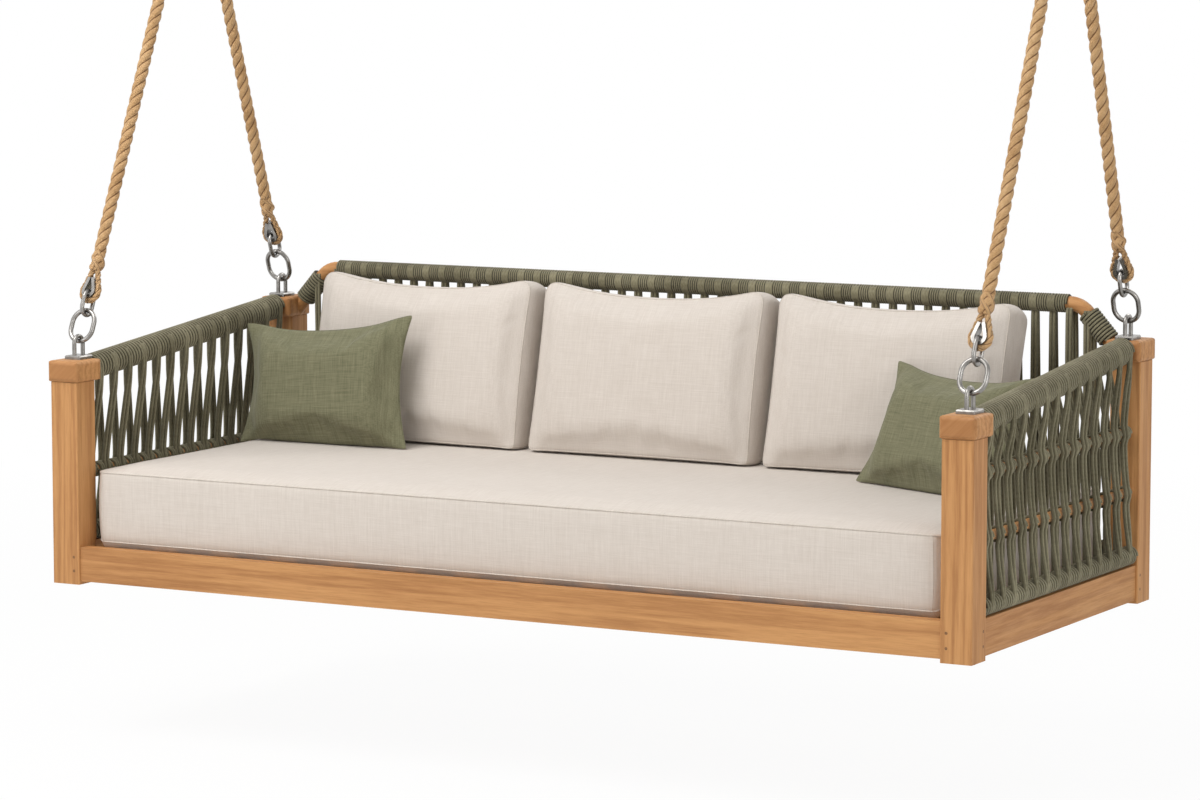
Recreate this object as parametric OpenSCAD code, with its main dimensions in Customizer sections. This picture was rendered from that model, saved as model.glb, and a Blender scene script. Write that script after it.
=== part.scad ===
// Hanging swing bed: a teak frame with cord-wound rails, a seat mattress and loose
// cushions, hung by four ropes from two swivel fittings under a ceiling.
// Origin: on the ceiling plane, midway between the two ceiling plates. +Z is up, the
// bed hangs below it, and its open front faces -Y.

/* [Frame] */
// Overall width over the posts
bed_w = 2100; // [1700:10:2400]
// Overall depth over the posts
bed_d = 895; // [840:5:1000]
// Side of a square corner post
post_w = 66; // [60:1:76]
// Height of a front post below its cap
front_post_h = 424; // [400:2:450]
// Height of a rear post below its cap
rear_post_h = 494; // [470:2:520]
// Radius on the long edges of the posts
post_edge_r = 3; // [2:0.5:5]
// Height of an apron board
apron_h = 72; // [64:1:84]
// Thickness of an apron board
apron_t = 28; // [24:1:32]
// Rise of the aprons above the foot of the posts
apron_rise = 7; // [4:1:10]
// Setback of the aprons behind the faces of the posts
apron_setback = 5; // [3:1:8]
// Length of the apron tenons
tenon_len = 26; // [20:1:30]
// Thickness of the apron tenons
tenon_t = 12; // [8:1:14]
// Shoulder above and below an apron tenon
tenon_shoulder = 8; // [6:1:12]
// Diameter of the pegs that lock the tenons
peg_d = 6; // [4:0.5:8]
// Spacing of the two pegs of a tenon
peg_gap = 29; // [24:1:34]

/* [Post caps] */
// Height of a cap
cap_h = 45; // [38:1:52]
// Depth of a cap along the arm rail
cap_d = 90; // [84:1:100]
// Overhang of a cap past the faces of its post
cap_overhang = 5; // [3:1:8]
// Radius on the edges of a cap
cap_edge_r = 9; // [3:1:10]
// Side of the square stub that locates a cap on its post
stub_w = 30; // [24:1:36]
// Height of that stub
stub_h = 12; // [8:1:14]

/* [Slats] */
// Width of a seat slat
slat_w = 60; // [45:1:80]
// Thickness of a seat slat
slat_t = 18; // [14:1:22]
// Number of seat slats
slat_count = 14; // [10:1:16]
// Drop of the slat tops below the top edges of the aprons
slat_drop = 5; // [2:1:8]
// Side of the square cleats under the slat ends
cleat_w = 25; // [20:1:30]

/* [Rails] */
// Diameter of the wooden arm rails
arm_rail_d = 40; // [34:1:44]
// Height of an arm rail's axis above the foot of its cap
arm_rail_seat = 23; // [21:0.5:25]
// Diameter of the round tenons at the ends of the arm rails
arm_tenon_d = 26; // [20:1:30]
// Depth of the rail tenons in the caps and posts
rail_tenon_len = 14; // [10:1:18]
// Diameter of the wooden back top rail
back_rail_d = 30; // [26:1:34]
// Height of the back top rail's axis above the foot of the posts
back_rail_z = 604; // [590:2:640]
// Distance of an elbow's corner from the outer faces of the posts
elbow_inset = 145; // [130:1:155]
// Centre-line radius of the elbows
elbow_r = 52; // [44:1:60]
// Height above the foot of the rear cap at which a corner rail enters it
corner_seat = 27; // [24:0.5:29]
// Diameter of the wooden lower rails on the side and back aprons
low_rail_d = 24; // [20:1:28]
// Diameter of the dowels across the side panels
dowel_d = 20; // [16:1:24]
// Height of the lower dowels above the foot of the posts
low_dowel_z = 228; // [205:1:250]
// Height of the upper dowel of the right-hand panel
high_dowel_z = 350; // [330:1:365]

/* [Cord work] */
// Thickness of the cord wound round the rails
cord_t = 8; // [6:0.5:9]
// Turns drawn on each long winding
wrap_loops = 24; // [12:1:24]
// Turns on the winding of each corner rail
corner_loops = 6; // [4:1:10]
// Width of an upright cord band
band_w = 15; // [11:1:18]
// Thickness of an upright cord band
band_t = 8; // [6:0.5:9]
// Number of outer bands on a side panel, with as many inside
side_bands = 14; // [8:1:16]
// Number of bands across the back
back_bands = 47; // [31:2:57]
// Clear gap between neighbouring turns of a winding
wrap_gap = 0.9; // [0.7:0.1:1.5]

/* [Mattress] */
// Distance of each end of the mattress from the outer faces of the posts
mattress_end = 76; // [74:2:120]
// Distance of the mattress from the rear faces of the posts
mattress_back = 66; // [50:2:120]
// Height of the mattress at its seams
mattress_h = 148; // [110:2:160]
// Rise of the mattress crown above its top seam
mattress_crown = 12; // [6:1:20]
// Radius of the upright corners of the mattress
mattress_corner = 40; // [20:2:60]
// Distance from the front face of the posts to the mattress
mattress_front = 33; // [30:1:40]

/* [Back cushions] */
// Distance of the ends of a middled row of back cushions from the outer faces of the posts
row_inset = 212; // [206:2:240]
// Gap between neighbouring back cushions
cushion_gap = 4; // [3:1:10]
// Height of a back cushion along its face
cushion_h = 374; // [340:2:400]
// Thickness of a back cushion at its seams
cushion_t = 92; // [80:2:110]
// Rise of each face of a back cushion above its seams
cushion_crown = 30; // [16:1:34]
// Corner radius of a back cushion, seen from the front
cushion_corner = 34; // [20:2:50]
// Lean of the back cushions from upright
cushion_lean = 14; // [10:0.5:18]
// Shift of the row of back cushions to the left of the middle
cushion_shift = 20; // [0:1:25]

/* [Lumbar pillows] */
// Width of a lumbar pillow
pillow_w = 436; // [380:2:450]
// Height of a lumbar pillow
pillow_h = 272; // [250:2:310]
// Thickness of a lumbar pillow at its middle
pillow_t = 112; // [80:2:120]
// Lean of the left pillow from upright
pillow_left_lean = 15; // [14:0.5:24]
// Lean of the right pillow from upright
pillow_right_lean = 26; // [14:0.5:28]
// Distance of the left pillow's middle from the outer faces of the left posts
pillow_left_inset = 300; // [294:2:350]
// Distance of the right pillow's middle from the outer faces of the right posts
pillow_right_inset = 294; // [284:2:350]
// Tilt of the left pillow in its own plane
pillow_left_tilt = 5; // [0:0.5:8]
// Turn of the right pillow's face towards the left pillow
pillow_right_turn = 24; // [15:1:28]

/* [Hanging hardware] */
// Diameter of the hanging ropes
rope_d = 27; // [24:1:30]
// Diameter of the rope where it is laid up round a thimble
rope_leg_d = 18; // [17:0.5:19]
// Height of the upper rope pins above the foot of the posts
pin_z = 1460; // [1380:5:1700]
// Distance of the hanging line behind the front face of the posts
hang_y = 508; // [440:1:540]
// Distance of the bed eyes from the front and rear faces of the posts
eye_setback = 55; // [48:1:57]
// Bar diameter of the bed eyes
eye_bar = 9; // [8:0.5:10]
// Width of a bed eye between the centres of its legs
eye_w = 30; // [28:1:34]
// Height of a bed eye above its base plate
eye_h = 44; // [42:1:48]
// Thickness of the base plates and of the ceiling plates
plate_t = 8; // [6:0.5:10]
// Bar diameter of the oval rings
ring_bar = 10; // [9:0.5:11]
// Outside width of an oval ring
ring_w = 64; // [60:1:68]
// Outside height of an oval ring
ring_h = 78; // [74:1:84]
// Bar diameter of the links
link_bar = 9; // [8:0.5:10]
// Outside width of a link
link_w = 44; // [42:1:48]
// Outside height of a link
link_h = 61; // [58:1:66]
// Inside radius of the round end of a thimble
thimble_r = 9; // [8.5:0.5:10]
// Wall of a thimble
thimble_wall = 3; // [2:0.5:4]
// Length of a ceiling plate, front to back
ceiling_plate_l = 130; // [120:2:160]
// Width of a ceiling plate
ceiling_plate_w = 60; // [56:1:80]
// Spacing of the two bolts of a ceiling plate
ceiling_bolt_gap = 96; // [90:2:110]
// Diameter of the ceiling bolt holes
ceiling_hole_d = 11; // [9:0.5:13]
// Diameter of the swing pins and rope pins
pin_d = 12; // [10:0.5:14]
// Distance of the swing pins below the ceiling
swing_pin_drop = 40; // [38:1:50]
// Distance of the rope pins below the swing pins
hanger_len = 60; // [58:1:75]

/* [Hidden] */
$fn = 48;
pin_fit = 0.05;       // radial clearance of the hangers on the swing pins
side_play = 0.3;      // play of a hanger between the ears of its plate
seat_gap = 0.3;       // gap between soft or curved pieces that rest on each other
open_pivot_gap = 0.8; // play of a ring on its eye, which keeps the four pivots free
glue_gap = 0.1;       // clearance of a tenon, stub or peg in its hole
cut = 1;              // how far a cutting tool runs past the face that it cuts

post_x = bed_w / 2 - post_w / 2;
front_post_y = post_w / 2;
rear_post_y = bed_d - post_w / 2;
front_cap_z = front_post_h;
rear_cap_z = rear_post_h;
apron_top = apron_rise + apron_h;
apron_mid = apron_setback + apron_t / 2;
apron_in = apron_setback + apron_t;
slat_top = apron_top - slat_drop;
ceiling_z = pin_z + hanger_len + swing_pin_drop;
elbow_x = bed_w / 2 - elbow_inset;
mattress_w = bed_w - 2 * mattress_end;
mattress_d = bed_d - mattress_front - mattress_back;
cushion_pitch = (bed_w - 2 * row_inset + cushion_gap) / 3;
cushion_w = cushion_pitch - cushion_gap;

wrap_r_arm = arm_rail_d / 2 + cord_t;
wrap_r_back = back_rail_d / 2 + cord_t;
wrap_r_low = low_rail_d / 2 + cord_t;
arm_front = [front_post_y - post_w / 2 - cap_overhang + cap_d, front_cap_z + arm_rail_seat];
arm_rear = [bed_d + cap_overhang - cap_d, rear_cap_z + arm_rail_seat];
arm_run = arm_rear - arm_front;
arm_len = norm(arm_run);
arm_rise = atan2(arm_run[1], arm_run[0]);
low_rail_z = apron_top + wrap_r_low + seat_gap;
low_rail_x = bed_w / 2 - apron_mid;
low_rail_y = bed_d - apron_mid;

cap_in_x = post_x - post_w / 2 - cap_overhang;
corner_end = [cap_in_x, rear_cap_z + corner_seat];
corner_run = corner_end - [elbow_x, back_rail_z];
corner_len = norm(corner_run);
corner_drop = atan2(-corner_run[1], corner_run[0]);
elbow_back = elbow_r * tan(corner_drop / 2);

rope_face = 32; // offset of each rope along the rope pins from the hanging line
pin_head_d = 22;
pin_head_t = 5;
ear_t = 6;
hub_w = 25;
hub_d = 32;
hanger_t = 16;
rope_pin_end = 22; // length of a rope pin past the middle of its rope
rope_pin_len = 2 * (rope_face + rope_pin_end);
eye_arch = eye_w / 2;
thimble_lip = 4;
thimble_lip_t = 1.5;
leg_r = thimble_r + thimble_wall + seat_gap + rope_leg_d / 2;
thimble_half_t = rope_leg_d / 2 + 1;
leg_slope = 17;
leg_apex = leg_r / sin(leg_slope);
splice_len = 42;
splice_swell = 3; // how much thicker a splice is than its rope
splice_d = rope_d + splice_swell;
splice_lap = 26; // how far the splice comes down over the legs
splice_from = leg_apex - splice_lap;
rope_tube_steps = 13;
rope_sides = 12;
metal_gap = 0.4;

SIDES = ["left", "right"];
ENDS = ["front", "rear"];
CORNERS = [for (e = ENDS, s = SIDES) str(e, "_", s)];
SEATS = ["left", "middle", "right"];

TEAK = "#cd965f";
STEEL = "#b9b9b8";
ROPE = "#c8a06e";
CORD = "#6f7258";
LINEN = "#ded5cb";
SAGE = "#7d8467";
PEG = "#6b4a2c";

// ---- frames of reference ------------------------------------------------------
// Bed frame: x from the middle, y from the front face of the posts, z from their feet.
module in_bed() { translate([0, -hang_y, -ceiling_z]) children(); }
function bed_point(p) = p + [0, -hang_y, -ceiling_z];

function side_sign(side) = side == "left" ? -1 : 1;
function is_rear(end) = end == "rear";
function end_sign(end) = is_rear(end) ? 1 : -1;
function cap_z(end) = is_rear(end) ? rear_cap_z : front_cap_z;
function post_y(end) = is_rear(end) ? rear_post_y : front_post_y;

// Centre of the arch of a bed eye, and the rope pin point that its rope runs to
function arch_y(end) = is_rear(end) ? bed_d - eye_setback : eye_setback;
function arch_z(end) = cap_z(end) + cap_h + plate_t + eye_h - eye_bar / 2 - eye_arch;
function arch_point(end) = [0, arch_y(end), arch_z(end)];
function pin_point(end) = [0, hang_y + end_sign(end) * rope_face, pin_z];
function rope_run(end) = pin_point(end) - arch_point(end);
function rope_lean(end) = atan2(-rope_run(end)[1], rope_run(end)[2]);
function rope_length(end) = norm(rope_run(end)) - eye_arch;

// Rope frame: origin where the ring bears in the eye, z up along the rope
module in_rope(end, side) {
    in_bed()
        translate(arch_point(end) + [side_sign(side) * post_x, 0, 0])
            rotate([rope_lean(end), 0, 0])
                translate([0, 0, eye_arch])
                    children();
}

// ---- general shapes -----------------------------------------------------------
module rounded_rect(w, d, r) {
    square([w - 2 * r, d], center = true);
    square([w, d - 2 * r], center = true);
    for (x = [-1, 1], y = [-1, 1])
        translate([x * (w / 2 - r), y * (d / 2 - r)])
            circle(r);
}

board_edge_r = 2; // rounding of the upright edges of a plain board
module board(size, r = board_edge_r) {
    linear_extrude(size[2])
        rounded_rect(size[0], size[1], r);
}

// A bar along +Y from the origin
module bar_y(d, h) { rotate([-90, 0, 0]) cylinder(d = d, h = h); }

// A bar along +X from the origin
module bar_x(d, h) { rotate([0, 90, 0]) cylinder(d = d, h = h); }

// A closed oval of round bar in the XZ plane, with outside sizes w and h
module oval_ring(w, h, bar) {
    straight = h - w;
    for (s = [-1, 1])
        translate([s * (w - bar) / 2, 0, -straight / 2])
            cylinder(d = bar, h = straight);
    for (s = [0, 1])
        mirror([0, 0, s])
            translate([0, 0, straight / 2])
                rotate([90, 0, 0])
                    rotate_extrude(angle = 180)
                        translate([(w - bar) / 2, 0])
                            circle(d = bar);
}

// Faces of a tube of rings with the same number of sides, closed at both ends
function tube_faces(rings, sides) = concat(
    [for (i = [0:rings - 2], j = [0:sides - 1]) let (k = (j + 1) % sides)
        [i * sides + j, i * sides + k, (i + 1) * sides + k]],
    [for (i = [0:rings - 2], j = [0:sides - 1]) let (k = (j + 1) % sides)
        [i * sides + j, (i + 1) * sides + k, (i + 1) * sides + j]],
    [for (j = [1:sides - 2]) [0, j + 1, j]],
    [for (j = [1:sides - 2]) let (b = (rings - 1) * sides) [b, b + j, b + j + 1]]);

// Section of a cord band: a flattened hexagon, w wide and t thick
band_bevel = 0.36; // width of its bevels as a share of its thickness
function band_section(w, t) =
    let (c = t * band_bevel)
    [[w / 2, 0], [w / 2 - c, t / 2], [c - w / 2, t / 2],
     [-w / 2, 0], [c - w / 2, -t / 2], [w / 2 - c, -t / 2]];

// ---- windings -----------------------------------------------------------------
turn_rings = 8; // rings in one turn
// Mean radius that keeps the flats of a turn clear of the rail inside it
function wind_r(rail_d, t) = (rail_d / 2 + seat_gap + t / 2) / cos(180 / turn_rings);
// One ring of a winding along +X, in the plane that holds the rail's axis
function wind_ring(i, r, pitch, w, t) =
    let (a = 360 * i / turn_rings, x = pitch * i / turn_rings)
    [for (q = band_section(w, t)) [x + q[0], (r + q[1]) * cos(a), (r + q[1]) * sin(a)]];
// A straight end, one thickness long, along the run of the cord
function wind_end(i, r, pitch, w, t, way) =
    let (a = 360 * i / turn_rings, slope = atan(pitch / (2 * PI * r)),
         along = [sin(slope), -cos(slope) * sin(a), cos(slope) * cos(a)])
    [for (q = wind_ring(i, r, pitch, w, t)) q + along * way * t];
function wind_points(loops, r, pitch, w, t) =
    let (last = loops * turn_rings)
    concat(
        wind_end(0, r, pitch, w, t, -1),
        [for (i = [0:last], q = wind_ring(i, r, pitch, w, t)) q],
        wind_end(last, r, pitch, w, t, 1));
// Least distance between the points of one turn and those of the next
function wind_gap(r, pitch, w, t) =
    min([for (i = [0:turn_rings])
        let (a = wind_ring(i, r, pitch, w, t), b = wind_ring(i + turn_rings, r, pitch, w, t))
        min([for (p = a, q = b) norm(p - q)])]);

// A winding along +X, `run` long in all, on a rail of diameter rail_d
module winding(run, loops, rail_d, t, name) {
    r = wind_r(rail_d, t);
    pitch = run / (loops + 1);
    w = pitch - wrap_gap;
    echo(str("least gap in ", name, ": ", wind_gap(r, pitch, w, t), " mm"));
    translate([pitch / 2, 0, 0])
        polyhedron(wind_points(loops, r, pitch, w, t),
                   tube_faces(loops * turn_rings + 3, len(band_section(w, t))));
}

// ---- cushions -----------------------------------------------------------------
// Outline of a cushion: corners of radius r, sides drawn in by `draw` at their middles
function corner_arc(q, w, h, r) =
    [for (a = [0:30:90]) let (m = 90 * q + 45)
        [sign(cos(m)) * (w / 2 - r) + r * cos(90 * q + a),
         sign(sin(m)) * (h / 2 - r) + r * sin(90 * q + a)]];
function drawn_in(p, w, h, draw) =
    [p[0] - sign(p[0]) * draw * (1 - pow(2 * p[1] / h, 2)),
     p[1] - sign(p[1]) * draw * (1 - pow(2 * p[0] / w, 2))];
function outline(w, h, r, draw) =
    [for (q = [0:3]) let (arc = corner_arc(q, w, h, r), next = corner_arc((q + 1) % 4, w, h, r)[0])
        for (p = concat(arc, [for (k = [1:4]) arc[3] + (next - arc[3]) * k / 5]))
            drawn_in(p, w, h, draw)];

// A cushion is [width, height, corner radius, draw, levels]. Each level is
// [inset from the outline, height], from the lower face to the upper one.
function level_ring(c, level) =
    [for (p = outline(c[0], c[1], c[2], c[3]))
        [p[0] * (1 - 2 * level[0] / c[0]), p[1] * (1 - 2 * level[0] / c[1]), level[1]]];
function cushion_rings(c) = [for (l = c[4]) level_ring(c, l)];
function cushion_points(c) =
    let (rings = cushion_rings(c), last = len(rings) - 1)
    concat([[0, 0, c[4][0][1]]], [for (r = rings, p = r) p], [[0, 0, c[4][last][1]]]);
function cushion_faces(c) =
    let (m = len(c[4]), n = len(outline(c[0], c[1], c[2], c[3])))
    concat(
        [for (j = [0:n - 1]) [0, 1 + (j + 1) % n, 1 + j]],
        [for (l = [0:m - 2], j = [0:n - 1]) let (k = (j + 1) % n, b = 1 + l * n)
            [b + j, b + k, b + n + k]],
        [for (l = [0:m - 2], j = [0:n - 1]) let (k = (j + 1) % n, b = 1 + l * n)
            [b + j, b + n + k, b + n + j]],
        [for (j = [0:n - 1]) let (b = 1 + (m - 1) * n) [b + j, b + (j + 1) % n, 1 + m * n]]);
module cushion(c) {
    polyhedron(cushion_points(c), cushion_faces(c));
}

// Levels of a box cushion: a border between two seams, and faces that rise to their full
// crowns, low and high, at a distance low_reach or reach from the outline
seam_inset = 3;
function box_levels(t, low, low_reach, high, reach) = [
    [low_reach, -t / 2 - low],
    [low_reach * 0.45, -t / 2 - low * 0.75],
    [seam_inset, -t / 2],
    [0, 0],
    [seam_inset, t / 2],
    [reach * 0.15, t / 2 + high * 0.4],
    [reach * 0.45, t / 2 + high * 0.8],
    [reach, t / 2 + high]];
// Levels of a pillow that comes to an edge all round
pillow_edge_t = 5;
function pillow_levels(t, reach) = [
    [reach, -t / 2],
    [reach * 0.55, -t * 0.43],
    [reach * 0.22, -t * 0.25],
    [0, -pillow_edge_t / 2],
    [0, pillow_edge_t / 2],
    [reach * 0.22, t * 0.25],
    [reach * 0.55, t * 0.43],
    [reach, t / 2]];

// Height of a cushion's upper face at a point, far below it outside the outline
function face_height(c, u, v) =
    let (inset = min(c[0] / 2 - abs(u), c[1] / 2 - abs(v)), n = len(c[4]))
    inset < 0 ? -c[0] : lookup(inset, [for (i = [n / 2:n - 1]) c[4][i]]);

// Points of a cushion and points half way between them, which seating is measured on
function seating_points(c) =
    let (rings = cushion_rings(c), n = len(rings[0]))
    [for (i = [0:len(rings) - 2], j = [0:n - 1])
        let (a = rings[i][j], b = rings[i][(j + 1) % n], d = rings[i + 1][j])
        each [a, (a + b) / 2, (a + d) / 2, (b + d) / 2]];

function turned(p, a) = [p[0] * cos(a) - p[1] * sin(a), p[0] * sin(a) + p[1] * cos(a), p[2]];
// A cushion drawn flat, stood up with its upper face to the front and leaned back
function leaned(p, lean) =
    [p[0], p[1] * sin(lean) - p[2] * cos(lean), p[1] * cos(lean) + p[2] * sin(lean)];
function unleaned(p, lean) =
    [p[0], p[1] * sin(lean) + p[2] * cos(lean), p[2] * sin(lean) - p[1] * cos(lean)];

// ---- ceiling fittings ---------------------------------------------------------
module at_side(side) { translate([side_sign(side) * post_x, 0, 0]) children(); }
module each_side() { for (s = SIDES) at_side(s) children(); }

ceiling_plate_r = 8; // rounding of the corners of a ceiling plate
module ceiling_plates() {
    color(STEEL)
        each_side() {
            difference() {
                translate([0, 0, -plate_t])
                    board([ceiling_plate_w, ceiling_plate_l, plate_t], ceiling_plate_r);
                for (s = [-1, 1])
                    translate([0, s * ceiling_bolt_gap / 2, -plate_t - cut])
                        cylinder(d = ceiling_hole_d, h = plate_t + 2 * cut);
            }
            for (s = [-1, 1])
                translate([s * (hub_w / 2 + side_play + ear_t / 2), 0, 0])
                    ear();
        }
}

module ear() {
    difference() {
        union() {
            translate([-ear_t / 2, 0, -swing_pin_drop])
                bar_x(3 * pin_d, ear_t);
            translate([-ear_t / 2, -1.5 * pin_d, -swing_pin_drop])
                cube([ear_t, 3 * pin_d, swing_pin_drop - plate_t]);
        }
        translate([-ear_t, 0, -swing_pin_drop])
            bar_x(pin_d + 2 * glue_gap, 2 * ear_t);
    }
}

module headed_pin(length) {
    bar_y(pin_d, length);
    translate([0, -pin_head_t, 0])
        bar_y(pin_head_d, pin_head_t);
    translate([0, length, 0])
        bar_y(pin_head_d, pin_head_t);
}

module swing_pins() {
    span = hub_w + 2 * side_play + 2 * ear_t + 2 * glue_gap;
    color(STEEL)
        each_side()
            translate([span / 2, 0, -swing_pin_drop])
                rotate([0, 0, 90])
                    headed_pin(span);
}

// A hanger turns on its swing pin and carries the rope pin at its foot
module hanger(side) {
    color(STEEL)
        at_side(side)
            difference() {
                union() {
                    translate([-hub_w / 2, 0, -swing_pin_drop])
                        bar_x(hub_d, hub_w);
                    translate([-hub_w / 2, -hanger_t / 2, -swing_pin_drop - hanger_len])
                        cube([hub_w, hanger_t, hanger_len]);
                    translate([0, -hanger_t / 2, -swing_pin_drop - hanger_len])
                        bar_y(hub_d, hanger_t);
                }
                translate([-hub_w, 0, -swing_pin_drop])
                    bar_x(pin_d + 2 * pin_fit, 2 * hub_w);
                translate([0, -hanger_t, -swing_pin_drop - hanger_len])
                    bar_y(pin_d + 2 * glue_gap, 2 * hanger_t);
            }
}

module rope_pin(side) {
    color(STEEL)
        at_side(side)
            translate([0, -rope_pin_len / 2, -swing_pin_drop - hanger_len])
                headed_pin(rope_pin_len);
}

// ---- ropes and their chain ----------------------------------------------------
// Heights along the rope frame's z
ring_low = -(eye_bar + ring_bar) / 2 - open_pivot_gap;
ring_mid = ring_low + (ring_h - ring_bar) / 2;
ring_high = ring_low + ring_h - ring_bar;
link_low = ring_high - (ring_bar + link_bar) / 2 - metal_gap;
link_high = link_low + link_h - link_bar;
// The round of the link bears on the two edges of the thimble
link_in_r = link_w / 2 - link_bar;
edge_drop = link_in_r - sqrt(pow(link_in_r, 2) - pow(thimble_half_t, 2));
thimble_low = link_high - link_bar / 2 - edge_drop - metal_gap + thimble_r;
// Depth of the round end of the upper thimble past the rope pin, which crosses it at a slant
function pin_bite(end) =
    pin_d / 2 / cos(rope_lean(end)) + thimble_half_t * tan(abs(rope_lean(end)))
    + metal_gap - thimble_r;
function thimble_high(end) = rope_length(end) + pin_bite(end);
tube_from = thimble_low + splice_from + splice_len;
function tube_to(end) = thimble_high(end) - splice_from - splice_len;

module ring(end, side) {
    color(STEEL)
        in_rope(end, side)
            translate([0, 0, ring_mid])
                oval_ring(ring_w, ring_h, ring_bar);
}

module link(end, side) {
    color(STEEL)
        in_rope(end, side)
            translate([0, 0, (link_low + link_high) / 2])
                rotate([0, 0, 90])
                    oval_ring(link_w, link_h, link_bar);
}

// The channel section of a thimble, at radius r on the plane x = radius, y = axis
module thimble_section() {
    translate([thimble_r, -thimble_half_t])
        square([thimble_wall, 2 * thimble_half_t]);
    for (s = [0, 1])
        mirror([0, s])
            translate([thimble_r, thimble_half_t - thimble_lip_t])
                square([thimble_wall + thimble_lip, thimble_lip_t]);
}

// A thimble round the origin, its pointed throat up
module thimble() {
    throat = thimble_r / tan(leg_slope) - thimble_wall;
    rotate([90, 0, 0])
        rotate([0, 0, 180 - leg_slope])
            rotate_extrude(angle = 180 + 2 * leg_slope)
                thimble_section();
    for (s = [0, 1])
        mirror([s, 0, 0])
            rotate([0, -leg_slope, 0])
                linear_extrude(throat)
                    thimble_section();
}

module thimbles(end, side) {
    color(STEEL)
        in_rope(end, side) {
            translate([0, 0, thimble_low])
                thimble();
            translate([0, 0, thimble_high(end)])
                mirror([0, 0, 1])
                    thimble();
        }
}

// The loop of rope round a thimble at the origin, with its splice above
module rope_eye() {
    leg_len = leg_r / tan(leg_slope);
    rotate([90, 0, 0])
        rotate([0, 0, 180 - leg_slope])
            rotate_extrude(angle = 180 + 2 * leg_slope)
                translate([leg_r, 0])
                    circle(d = rope_leg_d);
    for (s = [0, 1])
        mirror([s, 0, 0])
            rotate([0, -leg_slope, 0])
                translate([leg_r, 0, 0])
                    cylinder(d = rope_leg_d, h = leg_len);
    translate([0, 0, splice_from])
        rotate_extrude()
            polygon([[0, 0], [rope_leg_d / 2, 0], [splice_d / 2, splice_len / 3],
                     [splice_d / 2, splice_len * 2 / 3], [rope_d / 2, splice_len], [0, splice_len]]);
}

module rope_eyes(end, side) {
    color(ROPE)
        in_rope(end, side) {
            translate([0, 0, thimble_low])
                rope_eye();
            translate([0, 0, thimble_high(end)])
                mirror([0, 0, 1])
                    rope_eye();
        }
}

module rope(end, side) {
    run = tube_to(end) - tube_from;
    points = [for (i = [0:rope_tube_steps], j = [0:rope_sides - 1])
        [rope_d / 2 * cos(360 * j / rope_sides), rope_d / 2 * sin(360 * j / rope_sides),
         tube_from + run * i / rope_tube_steps]];
    color(ROPE)
        in_rope(end, side)
            polyhedron(points, tube_faces(rope_tube_steps + 1, rope_sides));
}

module bed_eye() {
    leg = eye_h - eye_bar / 2 - eye_arch;
    translate([0, 0, plate_t]) {
        for (s = [-1, 1])
            translate([0, s * eye_arch, 0])
                cylinder(d = eye_bar, h = leg);
        translate([0, 0, leg])
            rotate([0, 0, 90])
                rotate([90, 0, 0])
                    rotate_extrude(angle = 180)
                        translate([eye_arch, 0])
                            circle(d = eye_bar);
    }
    intersection() {
        board([eye_plate_w, eye_plate_l, plate_t], eye_plate_r);
        plate_chamfer();
    }
    translate([0, 0, -shank_len])
        cylinder(d = shank_d, h = shank_len);
}
eye_plate_w = 40;
eye_plate_l = 48;
eye_plate_r = 4;
plate_bevel = 0.35; // depth of its chamfers as a share of its thickness
shank_d = 12;
shank_in_post = 20;
shank_len = cap_h + shank_in_post;

// A prism whose top edges slope in, which takes the sharp edge off a base plate
module plate_chamfer() {
    c = plate_t * plate_bevel;
    intersection() {
        rotate([90, 0, 0])
            linear_extrude(2 * eye_plate_l, center = true)
                polygon([[-eye_plate_w / 2, 0], [eye_plate_w / 2, 0],
                         [eye_plate_w / 2, plate_t - c], [eye_plate_w / 2 - c, plate_t],
                         [c - eye_plate_w / 2, plate_t], [-eye_plate_w / 2, plate_t - c]]);
        rotate([90, 0, 90])
            linear_extrude(2 * eye_plate_w, center = true)
                polygon([[-eye_plate_l / 2, 0], [eye_plate_l / 2, 0],
                         [eye_plate_l / 2, plate_t - c], [eye_plate_l / 2 - c, plate_t],
                         [c - eye_plate_l / 2, plate_t], [-eye_plate_l / 2, plate_t - c]]);
    }
}

module bed_eyes() {
    color(STEEL)
        in_bed()
            for (e = ENDS, s = SIDES)
                translate([side_sign(s) * post_x, arch_y(e), cap_z(e) + cap_h])
                    bed_eye();
}

// ---- posts, caps and aprons ---------------------------------------------------
// Children on a corner post, as seen from inside: +x and +y point out of the bed
module at_corner(end, side) {
    in_bed()
        translate([side_sign(side) * post_x, post_y(end), 0])
            mirror([side == "left" ? 1 : 0, 0, 0])
                mirror([0, is_rear(end) ? 0 : 1, 0])
                    children();
}

// Outer faces of a post are at +post_w / 2; the apron tenons come in from -x and -y
module corner_mortises(slack) {
    z = apron_rise + tenon_shoulder - slack;
    h = apron_h - 2 * tenon_shoulder + 2 * slack;
    t = tenon_t + 2 * slack;
    translate([-post_w / 2 - slack, post_w / 2 - apron_mid - t / 2, z])
        cube([tenon_len + 2 * slack, t, h]);
    translate([post_w / 2 - apron_mid - t / 2, -post_w / 2 - slack, z])
        cube([t, tenon_len + 2 * slack, h]);
}

peg_past = 4; // length of a peg past its tenon
peg_len = apron_mid + tenon_t / 2 + peg_past;
function peg_z(k) = apron_rise + apron_h / 2 + k * peg_gap / 2;
// The four pegs of a post, two through each tenon, driven from the outer faces
module corner_pegs(d) {
    in = -post_w / 2 + tenon_len / 2;
    for (k = [-1, 1]) {
        translate([in, post_w / 2 - peg_len, peg_z(k)])
            bar_y(d, peg_len);
        translate([post_w / 2 - peg_len, in, peg_z(k)])
            bar_x(d, peg_len);
    }
}

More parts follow.
